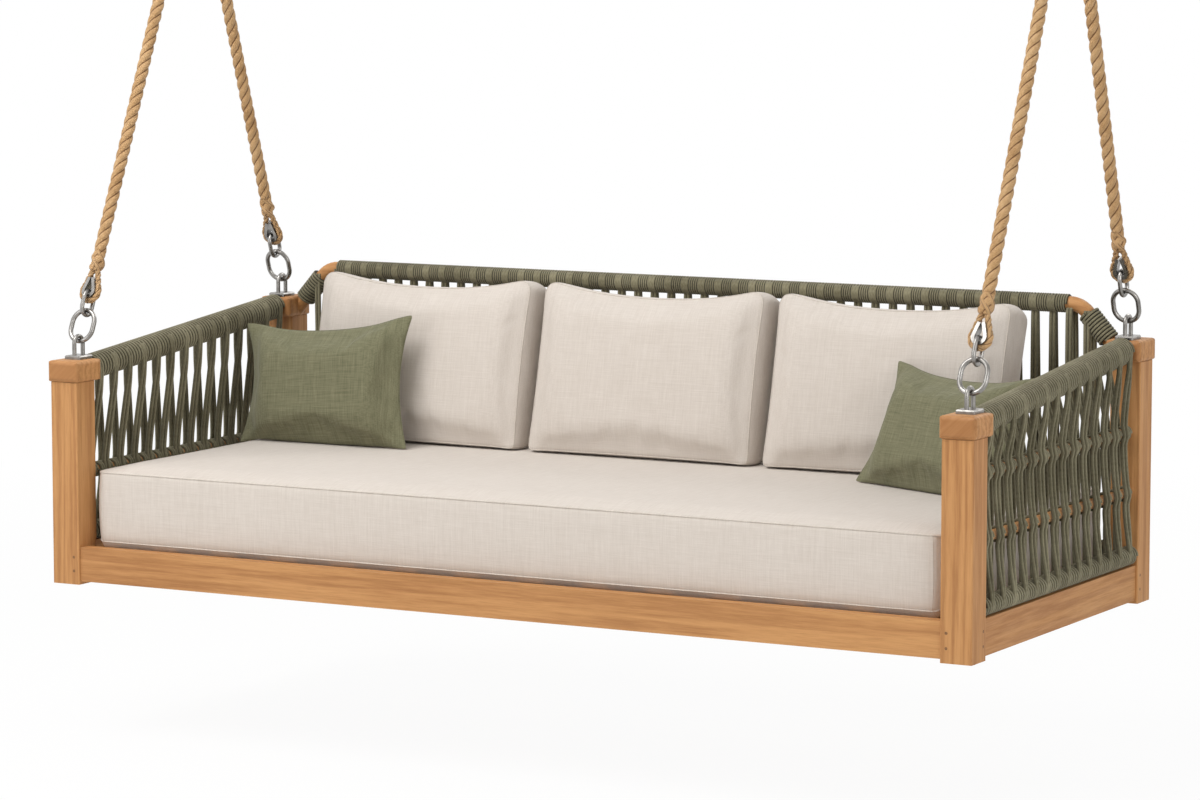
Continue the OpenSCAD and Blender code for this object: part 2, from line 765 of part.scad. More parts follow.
module corner_peg_holes(d) {
    in = -post_w / 2 + tenon_len / 2;
    for (k = [-1, 1]) {
        translate([in, post_w / 2 - peg_len - glue_gap, peg_z(k)])
            bar_y(d, peg_len + cut);
        translate([post_w / 2 - peg_len - glue_gap, in, peg_z(k)])
            bar_x(d, peg_len + cut);
    }
}

module dowel_sockets(side, end) {
    for (z = dowel_heights(side))
        translate([dowel_x(z) - post_x, -post_w / 2 - cut, z])
            bar_y(dowel_d + 2 * glue_gap, rail_tenon_len + cut);
    translate([low_rail_x - post_x, -post_w / 2 - cut, low_rail_z])
        bar_y(low_rail_d + 2 * glue_gap, rail_tenon_len + cut);
}

module post(end, side) {
    color(TEAK)
        difference() {
            at_corner(end, side)
                difference() {
                    union() {
                        board([post_w, post_w, cap_z(end)], post_edge_r);
                        translate([-stub_w / 2, -stub_w / 2, cap_z(end)])
                            cube([stub_w, stub_w, stub_h]);
                    }
                    corner_mortises(glue_gap);
                    corner_peg_holes(peg_d + 2 * glue_gap);
                    dowel_sockets(side, end);
                    eye_shank_hole(end);
                    if (is_rear(end))
                        low_back_socket();
                }
            if (is_rear(end))
                in_bed()
                    corner_rail_bore(side);
        }
}

module low_back_socket() {
    translate([-post_w / 2 - cut, low_rail_y - rear_post_y, low_rail_z])
        bar_x(low_rail_d + 2 * glue_gap, rail_tenon_len + cut);
}

// The hole of an eye's shank, in the corner's own frame
module eye_shank_hole(end) {
    translate([0, post_w / 2 - eye_setback, cap_z(end) + cap_h - shank_len - glue_gap])
        cylinder(d = shank_d + 2 * glue_gap, h = shank_len + cut);
}

module cap_block() {
    w = post_w + 2 * cap_overhang;
    intersection() {
        linear_extrude(cap_h)
            rounded_rect(w, cap_d, cap_edge_r);
        translate([0, cap_d / 2, cap_h / 2])
            rotate([90, 0, 0])
                linear_extrude(cap_d)
                    rounded_rect(w, cap_h, cap_edge_r);
        translate([-w / 2, 0, cap_h / 2])
            rotate([90, 0, 90])
                linear_extrude(w)
                    rounded_rect(cap_d, cap_h, cap_edge_r);
    }
}

module stub_socket(end) {
    w = stub_w + 2 * glue_gap;
    translate([-w / 2, -w / 2, cap_z(end) - cut])
        cube([w, w, stub_h + glue_gap + cut]);
}

module cap(end, side) {
    difference() {
        at_corner(end, side)
            difference() {
                translate([0, post_w / 2 + cap_overhang - cap_d / 2, cap_z(end)])
                    cap_block();
                stub_socket(end);
                eye_shank_hole(end);
            }
        in_bed() {
            arm_rail_line(side)
                translate([0, -rail_tenon_len - glue_gap, 0])
                    bar_y(arm_tenon_d + 2 * glue_gap, arm_len + 2 * (rail_tenon_len + glue_gap));
            if (is_rear(end))
                corner_rail_bore(side);
        }
    }
}

module post_caps() {
    color(TEAK)
        for (e = ENDS, s = SIDES)
            cap(e, s);
}

// An apron between two posts, along +X, its outer face at +y
module apron(clear_len) {
    holes = [for (s = [-1, 1], k = [-1, 1]) [s * (clear_len / 2 + tenon_len / 2), peg_z(k)]];
    difference() {
        union() {
            translate([-clear_len / 2, -apron_t, apron_rise])
                cube([clear_len, apron_t, apron_h]);
            translate([-clear_len / 2 - tenon_len, -apron_t / 2 - tenon_t / 2,
                       apron_rise + tenon_shoulder])
                cube([clear_len + 2 * tenon_len, tenon_t, apron_h - 2 * tenon_shoulder]);
        }
        for (p = holes)
            translate([p[0], -apron_t, p[1]])
                bar_y(peg_d + 2 * glue_gap, apron_t);
    }
}

module long_apron(end) {
    color(TEAK)
        in_bed()
            translate([0, is_rear(end) ? bed_d - apron_setback : apron_setback, 0])
                mirror([0, is_rear(end) ? 0 : 1, 0])
                    apron(bed_w - 2 * post_w);
}

module side_apron(side) {
    color(TEAK)
        in_bed()
            translate([side_sign(side) * (bed_w / 2 - apron_setback), bed_d / 2, 0])
                rotate([0, 0, -90 * side_sign(side)])
                    apron(bed_d - 2 * post_w);
}

module joint_pegs() {
    color(PEG)
        for (e = ENDS, s = SIDES)
            at_corner(e, s)
                corner_pegs(peg_d);
}

module seat_slats() {
    run = bed_d - 2 * (apron_in + glue_gap);
    clear_w = bed_w - 2 * apron_in;
    pitch = clear_w / slat_count;
    color(TEAK)
        in_bed()
            for (i = [0:slat_count - 1])
                translate([(i + 0.5) * pitch - clear_w / 2, bed_d / 2, slat_top - slat_t])
                    board([slat_w, run, slat_t]);
}

module slat_cleats() {
    run = bed_w - 2 * post_w - 2 * glue_gap;
    color(TEAK)
        in_bed()
            for (y = [apron_in, bed_d - apron_in - cleat_w])
                translate([-run / 2, y, slat_top - slat_t - cleat_w])
                    cube([run, cleat_w, cleat_w]);
}

// ---- rails and dowels ---------------------------------------------------------
// Children on the axis of an arm rail, which runs along +y from the front cap
module arm_rail_line(side) {
    translate([side_sign(side) * post_x, arm_front[0], arm_front[1]])
        rotate([arm_rise, 0, 0])
            children();
}

module arm_rail(side) {
    color(TEAK)
        in_bed()
            arm_rail_line(side) {
                translate([0, rail_shoulder, 0])
                    bar_y(arm_rail_d, arm_len - 2 * rail_shoulder);
                translate([0, -rail_tenon_len, 0])
                    bar_y(arm_tenon_d, arm_len + 2 * rail_tenon_len);
            }
}

rail_shoulder = 2; // space between the thick part of a rail and the cap or elbow at its end

// Height of an arm rail's axis over a point y
function arm_axis_z(y) = arm_front[1] + (y - arm_front[0]) * tan(arm_rise);

function dowel_heights(side) = side == "left" ? [low_dowel_z] : [low_dowel_z, high_dowel_z];
// The panel leans a little, from the low rail out to the arm rail's line
function dowel_x(z) =
    low_rail_x + (post_x - low_rail_x) * (z - low_rail_z) / (arm_axis_z(bed_d / 2) - low_rail_z);

module side_dowels() {
    from = post_w - rail_tenon_len + glue_gap;
    color(TEAK)
        in_bed()
            for (s = SIDES, z = dowel_heights(s))
                translate([side_sign(s) * dowel_x(z), from, z])
                    bar_y(dowel_d, bed_d - 2 * from);
}

module low_rails() {
    from = post_w - rail_tenon_len + glue_gap;
    color(TEAK)
        in_bed() {
            for (s = [-1, 1])
                translate([s * low_rail_x, from, low_rail_z])
                    bar_y(low_rail_d, bed_d - 2 * from);
            translate([from - bed_w / 2, low_rail_y, low_rail_z])
                bar_x(low_rail_d, bed_w - 2 * from);
        }
}

// The sloping corner of the back rail, along +x from the corner point of its elbow
module corner_line(side) {
    translate([side_sign(side) * elbow_x, rear_post_y, back_rail_z])
        mirror([side == "left" ? 1 : 0, 0, 0])
            rotate([0, corner_drop, 0])
                children();
}

module corner_rail_bore(side) {
    corner_line(side)
        translate([corner_len - bore_lead, 0, 0])
            bar_x(back_rail_d + 2 * glue_gap, bore_lead + corner_bite + glue_gap);
}
corner_bite = 28; // length of a corner rail past the inner face of its cap
bore_lead = 30;   // how far its bore starts outside that face

// Children on the straight back rail's end, along +x from the corner point of its elbow
module back_rail_line(side) {
    translate([side_sign(side) * elbow_x, rear_post_y, back_rail_z])
        mirror([side == "left" ? 1 : 0, 0, 0])
            children();
}

// A round tenon of an elbow, along +x from a point inside the elbow
module elbow_tenon(slack) {
    translate([-elbow_tenon_len / 2, 0, 0])
        bar_x(elbow_tenon_d + 2 * slack, 1.5 * elbow_tenon_len + slack);
}
elbow_tenon_d = 14;
elbow_tenon_len = 16;

module elbow(side) {
    back_rail_line(side) {
        translate([-elbow_back, 0, -elbow_r])
            rotate([90, 0, 0])
                rotate([0, 0, 90 - corner_drop])
                    rotate_extrude(angle = corner_drop)
                        translate([elbow_r, 0])
                            circle(d = back_rail_d);
        translate([-elbow_back, 0, 0])
            mirror([1, 0, 0])
                elbow_tenon(0);
    }
    corner_line(side)
        translate([elbow_back, 0, 0])
            elbow_tenon(0);
}

module rail_elbows() {
    color(TEAK)
        in_bed()
            for (s = SIDES)
                elbow(s);
}

module corner_rails() {
    color(TEAK)
        in_bed()
            for (s = SIDES)
                corner_line(s)
                    difference() {
                        translate([elbow_back + glue_gap, 0, 0])
                            bar_x(back_rail_d, corner_len + corner_bite - elbow_back - glue_gap);
                        translate([elbow_back, 0, 0])
                            elbow_tenon(glue_gap);
                    }
}

module back_rail() {
    half = elbow_x - elbow_back - glue_gap;
    color(TEAK)
        in_bed()
            difference() {
                translate([-half, rear_post_y, back_rail_z])
                    bar_x(back_rail_d, 2 * half);
                for (s = SIDES)
                    back_rail_line(s)
                        translate([-elbow_back, 0, 0])
                            mirror([1, 0, 0])
                                elbow_tenon(glue_gap);
            }
}

// ---- cord work ----------------------------------------------------------------
module arm_winding(side) {
    color(CORD)
        in_bed()
            arm_rail_line(side)
                translate([0, rail_shoulder, 0])
                    rotate([0, 0, 90])
                        winding(arm_len - 2 * rail_shoulder, wrap_loops, arm_rail_d, cord_t,
                                str("arm winding ", side));
}

module back_winding() {
    half = elbow_x - elbow_back - 2 * rail_shoulder;
    color(CORD)
        in_bed()
            translate([half, rear_post_y, back_rail_z])
                rotate([0, 0, 90])
                    sleeve_y(back_rail_d, cord_t, 2 * half);
}

module corner_windings() {
    from = elbow_back + rail_shoulder;
    color(CORD)
        in_bed()
            for (s = SIDES)
                corner_line(s)
                    translate([from, 0, 0])
                        winding(corner_len - from - corner_clear, corner_loops, back_rail_d, cord_t,
                                str("corner winding ", s));
}
corner_clear = 22; // keeps the lowest turn off the rear cap

module sleeve_y(rail_d, t, run) {
    difference() {
        bar_y(rail_d + 2 * t, run);
        translate([0, -cut, 0])
            bar_y(rail_d + 2 * seat_gap, run + 2 * cut);
    }
}

module low_windings() {
    end_gap = 1; // between a sleeve and the post at its end
    half = bed_w / 2 - post_w - end_gap;
    color(CORD)
        in_bed() {
            for (s = [-1, 1])
                translate([s * low_rail_x, post_w + end_gap, low_rail_z])
                    sleeve_y(low_rail_d, cord_t, bed_d - 2 * (post_w + end_gap));
            translate([half, low_rail_y, low_rail_z])
                rotate([0, 0, 90])
                    sleeve_y(low_rail_d, cord_t, 2 * half);
        }
}

// A flat cord band swept through points [x, y, z] from top to bottom, its width along y
module band(points) {
    sec = band_section(band_w, band_t);
    polyhedron([for (p = points, q = sec) p + [q[1], q[0], 0]],
               tube_faces(len(points), len(sec)));
}

// Stations of one band of a side panel. `out` is 1 for the outer layer, -1 for the inner.
// Both layers start together, part at each dowel and come together again on the low rail.
function band_points(side, i, out) =
    let (
        pitch = (arm_rear[0] - arm_front[0] - 2 * band_end) / (side_bands - 1),
        y0 = arm_front[0] + band_end + pitch * i,
        part = pitch * band_spread * out,
        off = dowel_d / 2 + band_t / 2 + seat_gap,
        sx = side_sign(side),
        heights = dowel_heights(side))
    concat(
        [[sx * (post_x + out * (wrap_r_arm - band_t / 2)), y0, arm_axis_z(y0) - band_top_drop]],
        [for (k = [len(heights) - 1:-1:0])
            [sx * (dowel_x(heights[k]) + out * off), y0 + (k == 0 ? 1 : -1) * part, heights[k]]],
        [[sx * (low_rail_x + out * (wrap_r_low - band_t / 2)), y0, low_rail_z + band_foot_rise]]);
band_end = 16;
band_spread = 0.34; // share of the pitch by which a band swings to each side
// Top of a band below the arm rail's axis, clear of the winding, and its foot on the low rail
band_top_drop = sqrt(pow(wind_r(arm_rail_d, cord_t) + cord_t / 2 + seat_gap, 2)
                     - pow(wrap_r_arm - band_t, 2)) + band_w / 2 * tan(arm_rise);
band_foot_rise = sqrt(pow(wrap_r_low + seat_gap, 2) - pow(wrap_r_low - band_t, 2));

module side_cords(side) {
    color(CORD)
        in_bed()
            for (i = [0:side_bands - 1], out = [-1, 1])
                band(band_points(side, i, out));
}

// Height of the underside of the back rail's cord work at a distance x from the middle
function back_under(x) =
    abs(x) < elbow_x
        ? back_rail_z - wrap_r_back
        : back_rail_z - (abs(x) - elbow_x) * tan(corner_drop) - wrap_r_back / cos(corner_drop);

module back_cords() {
    span = cap_in_x - band_w / 2 - back_band_end;
    pitch = 2 * span / (back_bands + 1);
    low = low_rail_z + wrap_r_low;
    color(CORD)
        in_bed()
            for (i = [0:back_bands - 1])
                let (x = (i - (back_bands - 1) / 2) * pitch)
                    translate([x, (rear_post_y + low_rail_y) / 2, low + seat_gap])
                        linear_extrude(back_under(abs(x) + band_w / 2) - low - 2 * seat_gap)
                            rounded_rect(band_w, band_t, band_edge_r);
}
back_band_end = 6; // distance of the outermost bands from the rear caps
band_edge_r = 3.9;

// ---- soft parts ---------------------------------------------------------------
mattress_sag = 14; // fall of the mattress underside below its lower seam
// How far the sides are drawn in, and how far in each face reaches its full crown
mattress_draw = 3;
mattress_low_reach = 18;
mattress_reach = 180;
cushion_draw = 7;
cushion_reach = 120;
pillow_draw = 14;
pillow_reach = 125;
pillow_corner = 10;
MATTRESS = [mattress_w, mattress_d, mattress_corner, mattress_draw,
            box_levels(mattress_h, mattress_sag, mattress_low_reach,
                       mattress_crown, mattress_reach)];
BACK_CUSHION = [cushion_w, cushion_h, cushion_corner, cushion_draw,
                box_levels(cushion_t, cushion_crown, cushion_reach,
                           cushion_crown, cushion_reach)];
PILLOW = [pillow_w, pillow_h, pillow_corner, pillow_draw, pillow_levels(pillow_t, pillow_reach)];
mattress_at = [0, mattress_front + mattress_d / 2,
               slat_top + seat_gap + mattress_sag + mattress_h / 2];

module mattress() {
    color(LINEN)
        in_bed()
            translate(mattress_at)
                cushion(MATTRESS);
}

// Height at which points rest on the mattress, when their origin is over [x, y]
function rest_z(points, x, y) =
    seat_gap - min([for (p = points)
        p[2] - mattress_at[2] - face_height(MATTRESS, x + p[0], y + p[1] - mattress_at[1])]);

// How far back a back cushion at height z can go, to lean on the back rail's cord work
function back_y(z) =
    let (r = wrap_r_back + seat_gap, l = BACK_CUSHION[4])
    min([for (i = [0:3], f = [0:0.05:1])
        let (q = l[i] + (l[i + 1] - l[i]) * f,
             p = leaned([0, cushion_h / 2 - q[0], q[1]], cushion_lean),
             up = z + p[2] - back_rail_z)
        abs(up) < r ? rear_post_y - sqrt(r * r - up * up) - p[1] : bed_d]);
leaned_cushion = [for (p = cushion_points(BACK_CUSHION)) leaned(p, cushion_lean)];
first_z = rest_z(leaned_cushion, cushion_pitch, rear_post_y - cushion_h / 2);
cushion_y = back_y(rest_z(leaned_cushion, cushion_pitch, back_y(first_z)));
function cushion_x(k) = k * cushion_pitch - cushion_shift;
function cushion_at(k) = [cushion_x(k), cushion_y, rest_z(leaned_cushion, cushion_x(k), cushion_y)];

// A back cushion stands on the mattress and leans on the back rail's cord work
module back_cushion(k) {
    color(LINEN)
        in_bed()
            translate(cushion_at(k))
                rotate([90 - cushion_lean, 0, 0])
                    cushion(BACK_CUSHION);
}

pillow_gap = 0.5; // gap between a pillow and the back cushion that it leans on
function pillow_tilt(side) = side == "left" ? pillow_left_tilt : 0;
function pillow_turn(side) = side == "left" ? 0 : -pillow_right_turn;
function pillow_lean(side) = side == "left" ? pillow_left_lean : pillow_right_lean;
function pillow_x(side) =
    side == "left" ? pillow_left_inset - bed_w / 2 : bed_w / 2 - pillow_right_inset;
function placed_pillow(side) =
    [for (p = seating_points(PILLOW))
        turned(leaned(turned(p, pillow_tilt(side)), pillow_lean(side)), pillow_turn(side))];
// Least gap from a pillow at y to the face of the back cushion behind it
function lean_gap(points, side, y) =
    let (at = [pillow_x(side), y, rest_z(points, pillow_x(side), y)] - cushion_at(side_sign(side)))
    min([for (p = points) let (q = unleaned(p + at, cushion_lean))
        q[2] - face_height(BACK_CUSHION, q[0], q[1])]);
// The place along y at which a pillow leans on its back cushion, found in a few steps
function pillow_y(points, side, y, steps) =
    steps == 0 ? y
    : pillow_y(points, side,
               y + (lean_gap(points, side, y) - pillow_gap) / cos(cushion_lean), steps - 1);

// A lumbar pillow stands on the mattress and leans against a back cushion
module pillow(side) {
    points = placed_pillow(side);
    y = pillow_y(points, side, bed_d / 2, 5);
    color(SAGE)
        in_bed()
            translate([pillow_x(side), y, rest_z(points, pillow_x(side), y)])
                rotate([0, 0, pillow_turn(side)])
                    rotate([90 - pillow_lean(side), 0, 0])
                        rotate([0, 0, pillow_tilt(side)])
                            cushion(PILLOW);
}

// ---- drawing ------------------------------------------------------------------
function bearing(end) =
    bed_point(arch_point(end) + rope_run(end) * eye_arch / norm(rope_run(end)));
echo(front_bearing = bearing("front"));
echo(rear_bearing = bearing("rear"));
echo(front_rope_from_to = [tube_from, tube_to("front")], lean = rope_lean("front"));
echo(rear_rope_from_to = [tube_from, tube_to("rear")], lean = rope_lean("rear"));

ceiling_plates();
swing_pins();
for (e = ENDS, s = SIDES) {
    rope(e, s);
    rope_eyes(e, s);
    thimbles(e, s);
    link(e, s);
    ring(e, s);
    post(e, s);
}
bed_eyes();
post_caps();
long_apron("front");  // front_apron
long_apron("rear");  // rear_apron
joint_pegs();
seat_slats();
slat_cleats();
back_rail();
back_winding();
rail_elbows();
corner_rails();
low_rails();
low_windings();
side_dowels();
corner_windings();
for (s = SIDES) {
    hanger(s);
    rope_pin(s);
    side_apron(s);
    arm_rail(s);
    arm_winding(s);
    side_cords(s);
    pillow(s);
}
back_cords();
mattress();
for (k = [0:2])
    back_cushion(k - 1);
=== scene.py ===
"""Looks of the hanging swing bed: cord work, ropes, cushions, finishes, light and camera."""

import math
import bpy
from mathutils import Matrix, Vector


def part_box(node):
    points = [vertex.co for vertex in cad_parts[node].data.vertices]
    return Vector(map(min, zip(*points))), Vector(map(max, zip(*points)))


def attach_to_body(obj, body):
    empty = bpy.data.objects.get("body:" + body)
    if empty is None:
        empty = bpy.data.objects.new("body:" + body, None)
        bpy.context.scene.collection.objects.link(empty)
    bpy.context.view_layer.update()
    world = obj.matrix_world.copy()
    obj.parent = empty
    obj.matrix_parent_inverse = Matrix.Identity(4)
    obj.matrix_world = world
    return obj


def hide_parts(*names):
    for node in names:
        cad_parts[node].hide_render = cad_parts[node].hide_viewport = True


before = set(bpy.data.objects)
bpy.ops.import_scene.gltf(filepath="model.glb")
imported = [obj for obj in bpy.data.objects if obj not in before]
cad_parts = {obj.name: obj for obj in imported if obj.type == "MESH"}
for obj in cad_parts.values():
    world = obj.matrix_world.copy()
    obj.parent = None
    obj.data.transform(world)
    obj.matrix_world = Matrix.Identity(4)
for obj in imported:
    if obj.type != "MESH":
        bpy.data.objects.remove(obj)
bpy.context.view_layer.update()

from types import SimpleNamespace as Form

import bpy
import numpy as np
from mathutils import Euler, Matrix, Vector
from mathutils.bvhtree import BVHTree

MM = 0.001

# ---- sizes of the bed, in millimetres ----
FOOT = np.array(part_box("post_front_left")[0]) / MM  # outer front foot of the left post
HANG_Y, CEILING_Z = -FOOT[1], -FOOT[2]
BED_W, BED_D, POST_W = 2100, 895, 66
FRONT_CAP_Z, REAR_CAP_Z = 424, 494  # undersides of the caps
CAP_H, CAP_D, CAP_OVERHANG = 45, 90, 5
POST_X = BED_W / 2 - POST_W / 2
REAR_POST_Y = BED_D - POST_W / 2
ARM_RAIL_D, BACK_RAIL_D, LOW_RAIL_D, DOWEL_D = 40, 30, 24, 20
ARM_SEAT, CORNER_SEAT = 23, 27  # heights of the rails' ends over a cap's underside
BACK_RAIL_Z, LOW_RAIL_Z = 604, 99.3
LOW_DOWEL_Z, HIGH_DOWEL_Z = 228, 350
ELBOW_X, ELBOW_R = 905, 52  # where the rails' lines meet, and the bend's radius
APRON_MID = 19  # from an apron's outer face to its middle
CORD_T = 8  # thickness of the cord work on the rails
BACK_CORD_T = 4.5  # the same on the back rail, where it is pulled flatter
ROPE_D, LEG_D = 27, 18
EYE_SETBACK, EYE_RISE, EYE_ARCH = 55, 32.5, 15
PIN_Z, ROPE_FACE = 1460, 32  # height of the rope pins, and half their distance in Y

SIDES = {"left": -1, "right": 1}
ENDS = {"front": -1, "rear": 1}


def bed(p):
    """A point of the bed's own frame, in millimetres, as a point of the scene."""
    return (np.asarray(p, float) - (0, HANG_Y, CEILING_Z)) * MM


def put(name, data):
    """A new object in the scene."""
    thing = bpy.data.objects.new(name, data)
    bpy.context.collection.objects.link(thing)
    return thing


# ---- camera ----
CAMERA_AT = bed((4355, -7488, 1436))
CAMERA_TURN, CAMERA_PITCH = 28.69, 6.54  # degrees
LENS, SENSOR = 132.51, 36


def make_camera():
    """The photo's view."""
    data = bpy.data.cameras.new("camera")
    data.lens, data.sensor_width = LENS, SENSOR
    data.clip_end = 100
    camera = put("camera", data)
    camera.location = CAMERA_AT
    camera.rotation_euler = Euler(
        (math.radians(90 - CAMERA_PITCH), 0, math.radians(CAMERA_TURN)))
    bpy.context.scene.camera = camera


make_camera()


# ---- meshes ----
class Shape:
    """Collects swept cords into one mesh, with a map: share of the round, metres along."""

    def __init__(self):
        self.points, self.faces, self.maps, self.count = [], [], [], 0

    def tube(self, path, section, closed=False, up=(0, 0, 1), turn=None):
        """Sweeps a section, one for all or one a ring, along a path in the scene's metres."""
        path = np.asarray(path, float)
        n = len(path)
        ahead = np.roll(path, -1, 0) - np.roll(path, 1, 0)
        if not closed:
            ahead[0], ahead[-1] = path[1] - path[0], path[-1] - path[-2]
        ahead /= np.linalg.norm(ahead, axis=1)[:, None]
        side = np.cross(np.broadcast_to(up, path.shape), ahead)
        side /= np.linalg.norm(side, axis=1)[:, None]
        over = np.cross(ahead, side)
        section = np.broadcast_to(section, (n,) + np.shape(section)[-2:])
        if turn is not None:
            c, s = np.cos(turn)[:, None], np.sin(turn)[:, None]
            section = np.stack([section[..., 0] * c - section[..., 1] * s,
                                section[..., 0] * s + section[..., 1] * c], -1)
        rings = (path[:, None] + section[..., :1] * side[:, None]
                 + section[..., 1:] * over[:, None])
        steps = np.linalg.norm(np.diff(path, axis=0, append=path[:1]), axis=1)
        self.skin(rings, np.concatenate([[0], np.cumsum(steps)]), closed)

    def skin(self, rings, along, closed=False, flip=False):
        """Joins rings of points by quads, mapped by the length `along` at each ring."""
        n, m = rings.shape[:2]
        i, j = np.meshgrid(np.arange(n if closed else n - 1), np.arange(m), indexing="ij")
        k, l = (i + 1) % n, (j + 1) % m
        quads = np.stack([i * m + j, k * m + j, k * m + l, i * m + l], -1).reshape(-1, 4)
        u0, v0, v1 = j / m, along[i], along[i + 1]
        uv = np.stack([u0, v0, u0, v1, u0 + 1 / m, v1, u0 + 1 / m, v0], -1).reshape(-1, 4, 2)
        if flip:
            quads, uv = np.roll(quads[:, ::-1], 1, 1), np.roll(uv[:, ::-1], 1, 1)
        self.points.append(rings.reshape(-1, 3))
        self.faces += (quads + self.count).tolist()
        self.maps += list(uv)
        if not closed:
            for ring, way in ((0, 1), (n - 1, -1)):
                loop = [self.count + ring * m + q for q in range(m)]
                self.faces.append(loop[::-way if flip else way])
                self.maps.append(np.zeros((m, 2)))
        self.count += n * m

    def build(self, name, material):
        mesh = bpy.data.meshes.new(name)
        mesh.from_pydata(np.concatenate(self.points).tolist(), [], self.faces)
        layer = mesh.uv_layers.new(name="lay")
        layer.data.foreach_set("uv", np.concatenate(self.maps).ravel())
        return smooth_piece(name, mesh, material)


def smooth_piece(name, mesh, material):
    """An object with a smooth-shaded mesh of one material."""
    mesh.polygons.foreach_set("use_smooth", [True] * len(mesh.polygons))
    mesh.materials.append(material)
    return put(name, mesh)


def attach(piece, body, node=None):
    """Lets a piece ride on a body, and in the place of a CAD node."""
    if node:
        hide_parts(node)
    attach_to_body(piece, body)


def oval(width, thick, sides=8):
    """Section of a cord in metres, from its width and thickness in millimetres."""
    a = 2 * np.pi * (np.arange(sides) + 0.5) / sides
    return np.stack([width / 2 * np.cos(a), thick / 2 * np.sin(a)], -1) * MM


def smooth_path(points, step):
    """A smooth curve through points, with a point about every `step`, that never overshoots."""
    p = np.asarray(points, float)
    p = np.concatenate([2 * p[:1] - p[1:2], p, 2 * p[-1:] - p[-2:-1]])
    out = []
    for i in range(len(p) - 3):
        a, b, c, d = p[i:i + 4]
        k1, k2, k3 = np.cumsum([math.sqrt(np.linalg.norm(q)) for q in (b - a, c - b, d - c)])
        m = max(2, int(np.linalg.norm(c - b) / step))
        t = (k1 + (k2 - k1) * np.arange(m) / m)[:, None]
        ab, bc, cd = (a + (b - a) * t / k1, b + (c - b) * (t - k1) / (k2 - k1),
                      c + (d - c) * (t - k2) / (k3 - k2))
        abc, bcd = ab + (bc - ab) * t / k2, bc + (cd - bc) * (t - k1) / (k3 - k1)
        out.append(abc + (bcd - abc) * (t - k1) / (k2 - k1))
    out.append(p[-2:-1])
    return np.concatenate(out)


# ---- materials ----
def colour(r, g, b):
    """A linear colour from sRGB values of 0 to 255."""
    return tuple((v / 255 / 12.92 if v <= 10 else ((v / 255 + 0.055) / 1.055) ** 2.4)
                 for v in (r, g, b)) + (1,)


class Nodes:
    """One tree of shader nodes, built node by node."""

    def __init__(self, tree):
        self.tree = tree

    def feed(self, socket, value):
        """Links another node's output to a socket, or sets the socket to a plain value."""
        if isinstance(value, bpy.types.NodeSocket):
            self.tree.links.new(value, socket)
        else:
            socket.default_value = value

    def node(self, kind, out=0, props=None, **inputs):
        """Adds a node and gives its output number `out`. Inputs go by name, or as i0, i1."""
        n = self.tree.nodes.new("ShaderNode" + kind)
        for key, value in (props or {}).items():
            setattr(n, key, value)
        for key, value in inputs.items():
            numbered = key[0] == "i" and key[1:].isdigit()
            self.feed(n.inputs[int(key[1:]) if numbered else key.replace("_", " ")], value)
        return n.outputs[out]

    def place(self, scale=(1, 1, 1), location=(0, 0, 0), rotation=(0, 0, 0), lay=False):
        """Texture coordinates: the piece's own metres, or the lay of a swept cord."""
        if lay:
            base = self.node("UVMap", props={"uv_map": "lay"})
        else:
            base = self.node("TexCoord", out=3)
        return self.node("Mapping", Vector=base, Scale=scale, Location=location,
                         Rotation=rotation)

    def noise(self, vector, scale, detail=3.0, rough=0.55):
        return self.node("TexNoise", Vector=vector, Scale=scale, Detail=detail,
                         Roughness=rough)

    def wave(self, vector, scale, warp=0.0, detail=2.0, direction="X", warp_scale=1.0):
        return self.node("TexWave", out=1, props={"bands_direction": direction},
                         Vector=vector, Scale=scale, Distortion=warp, Detail=detail,
                         Detail_Scale=warp_scale)

    def ramp(self, fac, stops):
        """A colour ramp through (place, grey or colour) stops."""
        n = self.tree.nodes.new("ShaderNodeValToRGB")
        self.tree.links.new(fac, n.inputs[0])
        while len(n.color_ramp.elements) < len(stops):
            n.color_ramp.elements.new(1)
        for element, (at, value) in zip(n.color_ramp.elements, stops):
            element.position = at
            element.color = value if isinstance(value, tuple) else (value,) * 3 + (1,)
        return n.outputs[0]

    def mix(self, fac, a, b):
        """Mixes two colours; the node's colour sockets are its inputs 6 and 7."""
        n = self.tree.nodes.new("ShaderNodeMix")
        n.data_type = "RGBA"
        for socket, value in ((n.inputs[0], fac), (n.inputs[6], a), (n.inputs[7], b)):
            self.feed(socket, value)
        return n.outputs[2]

    def math(self, kind, a, b=0.0):
        return self.node("Math", props={"operation": kind}, i0=a, i1=b)

    def crests(self, around, number):
        """1 on `number` crests round a section, and 0 half-way between them."""
        turn = self.math("MULTIPLY", around, number * math.pi)
        return self.math("ABSOLUTE", self.math("COSINE", turn))

    def seen(self):
        """1 where a camera, or a reflection or glass before it, sees the surface."""
        rays = self.tree.nodes.new("ShaderNodeLightPath").outputs
        return self.math("MAXIMUM", rays["Is Camera Ray"],
                         self.math("MAXIMUM", rays["Is Glossy Ray"],
                                   rays["Is Transmission Ray"]))


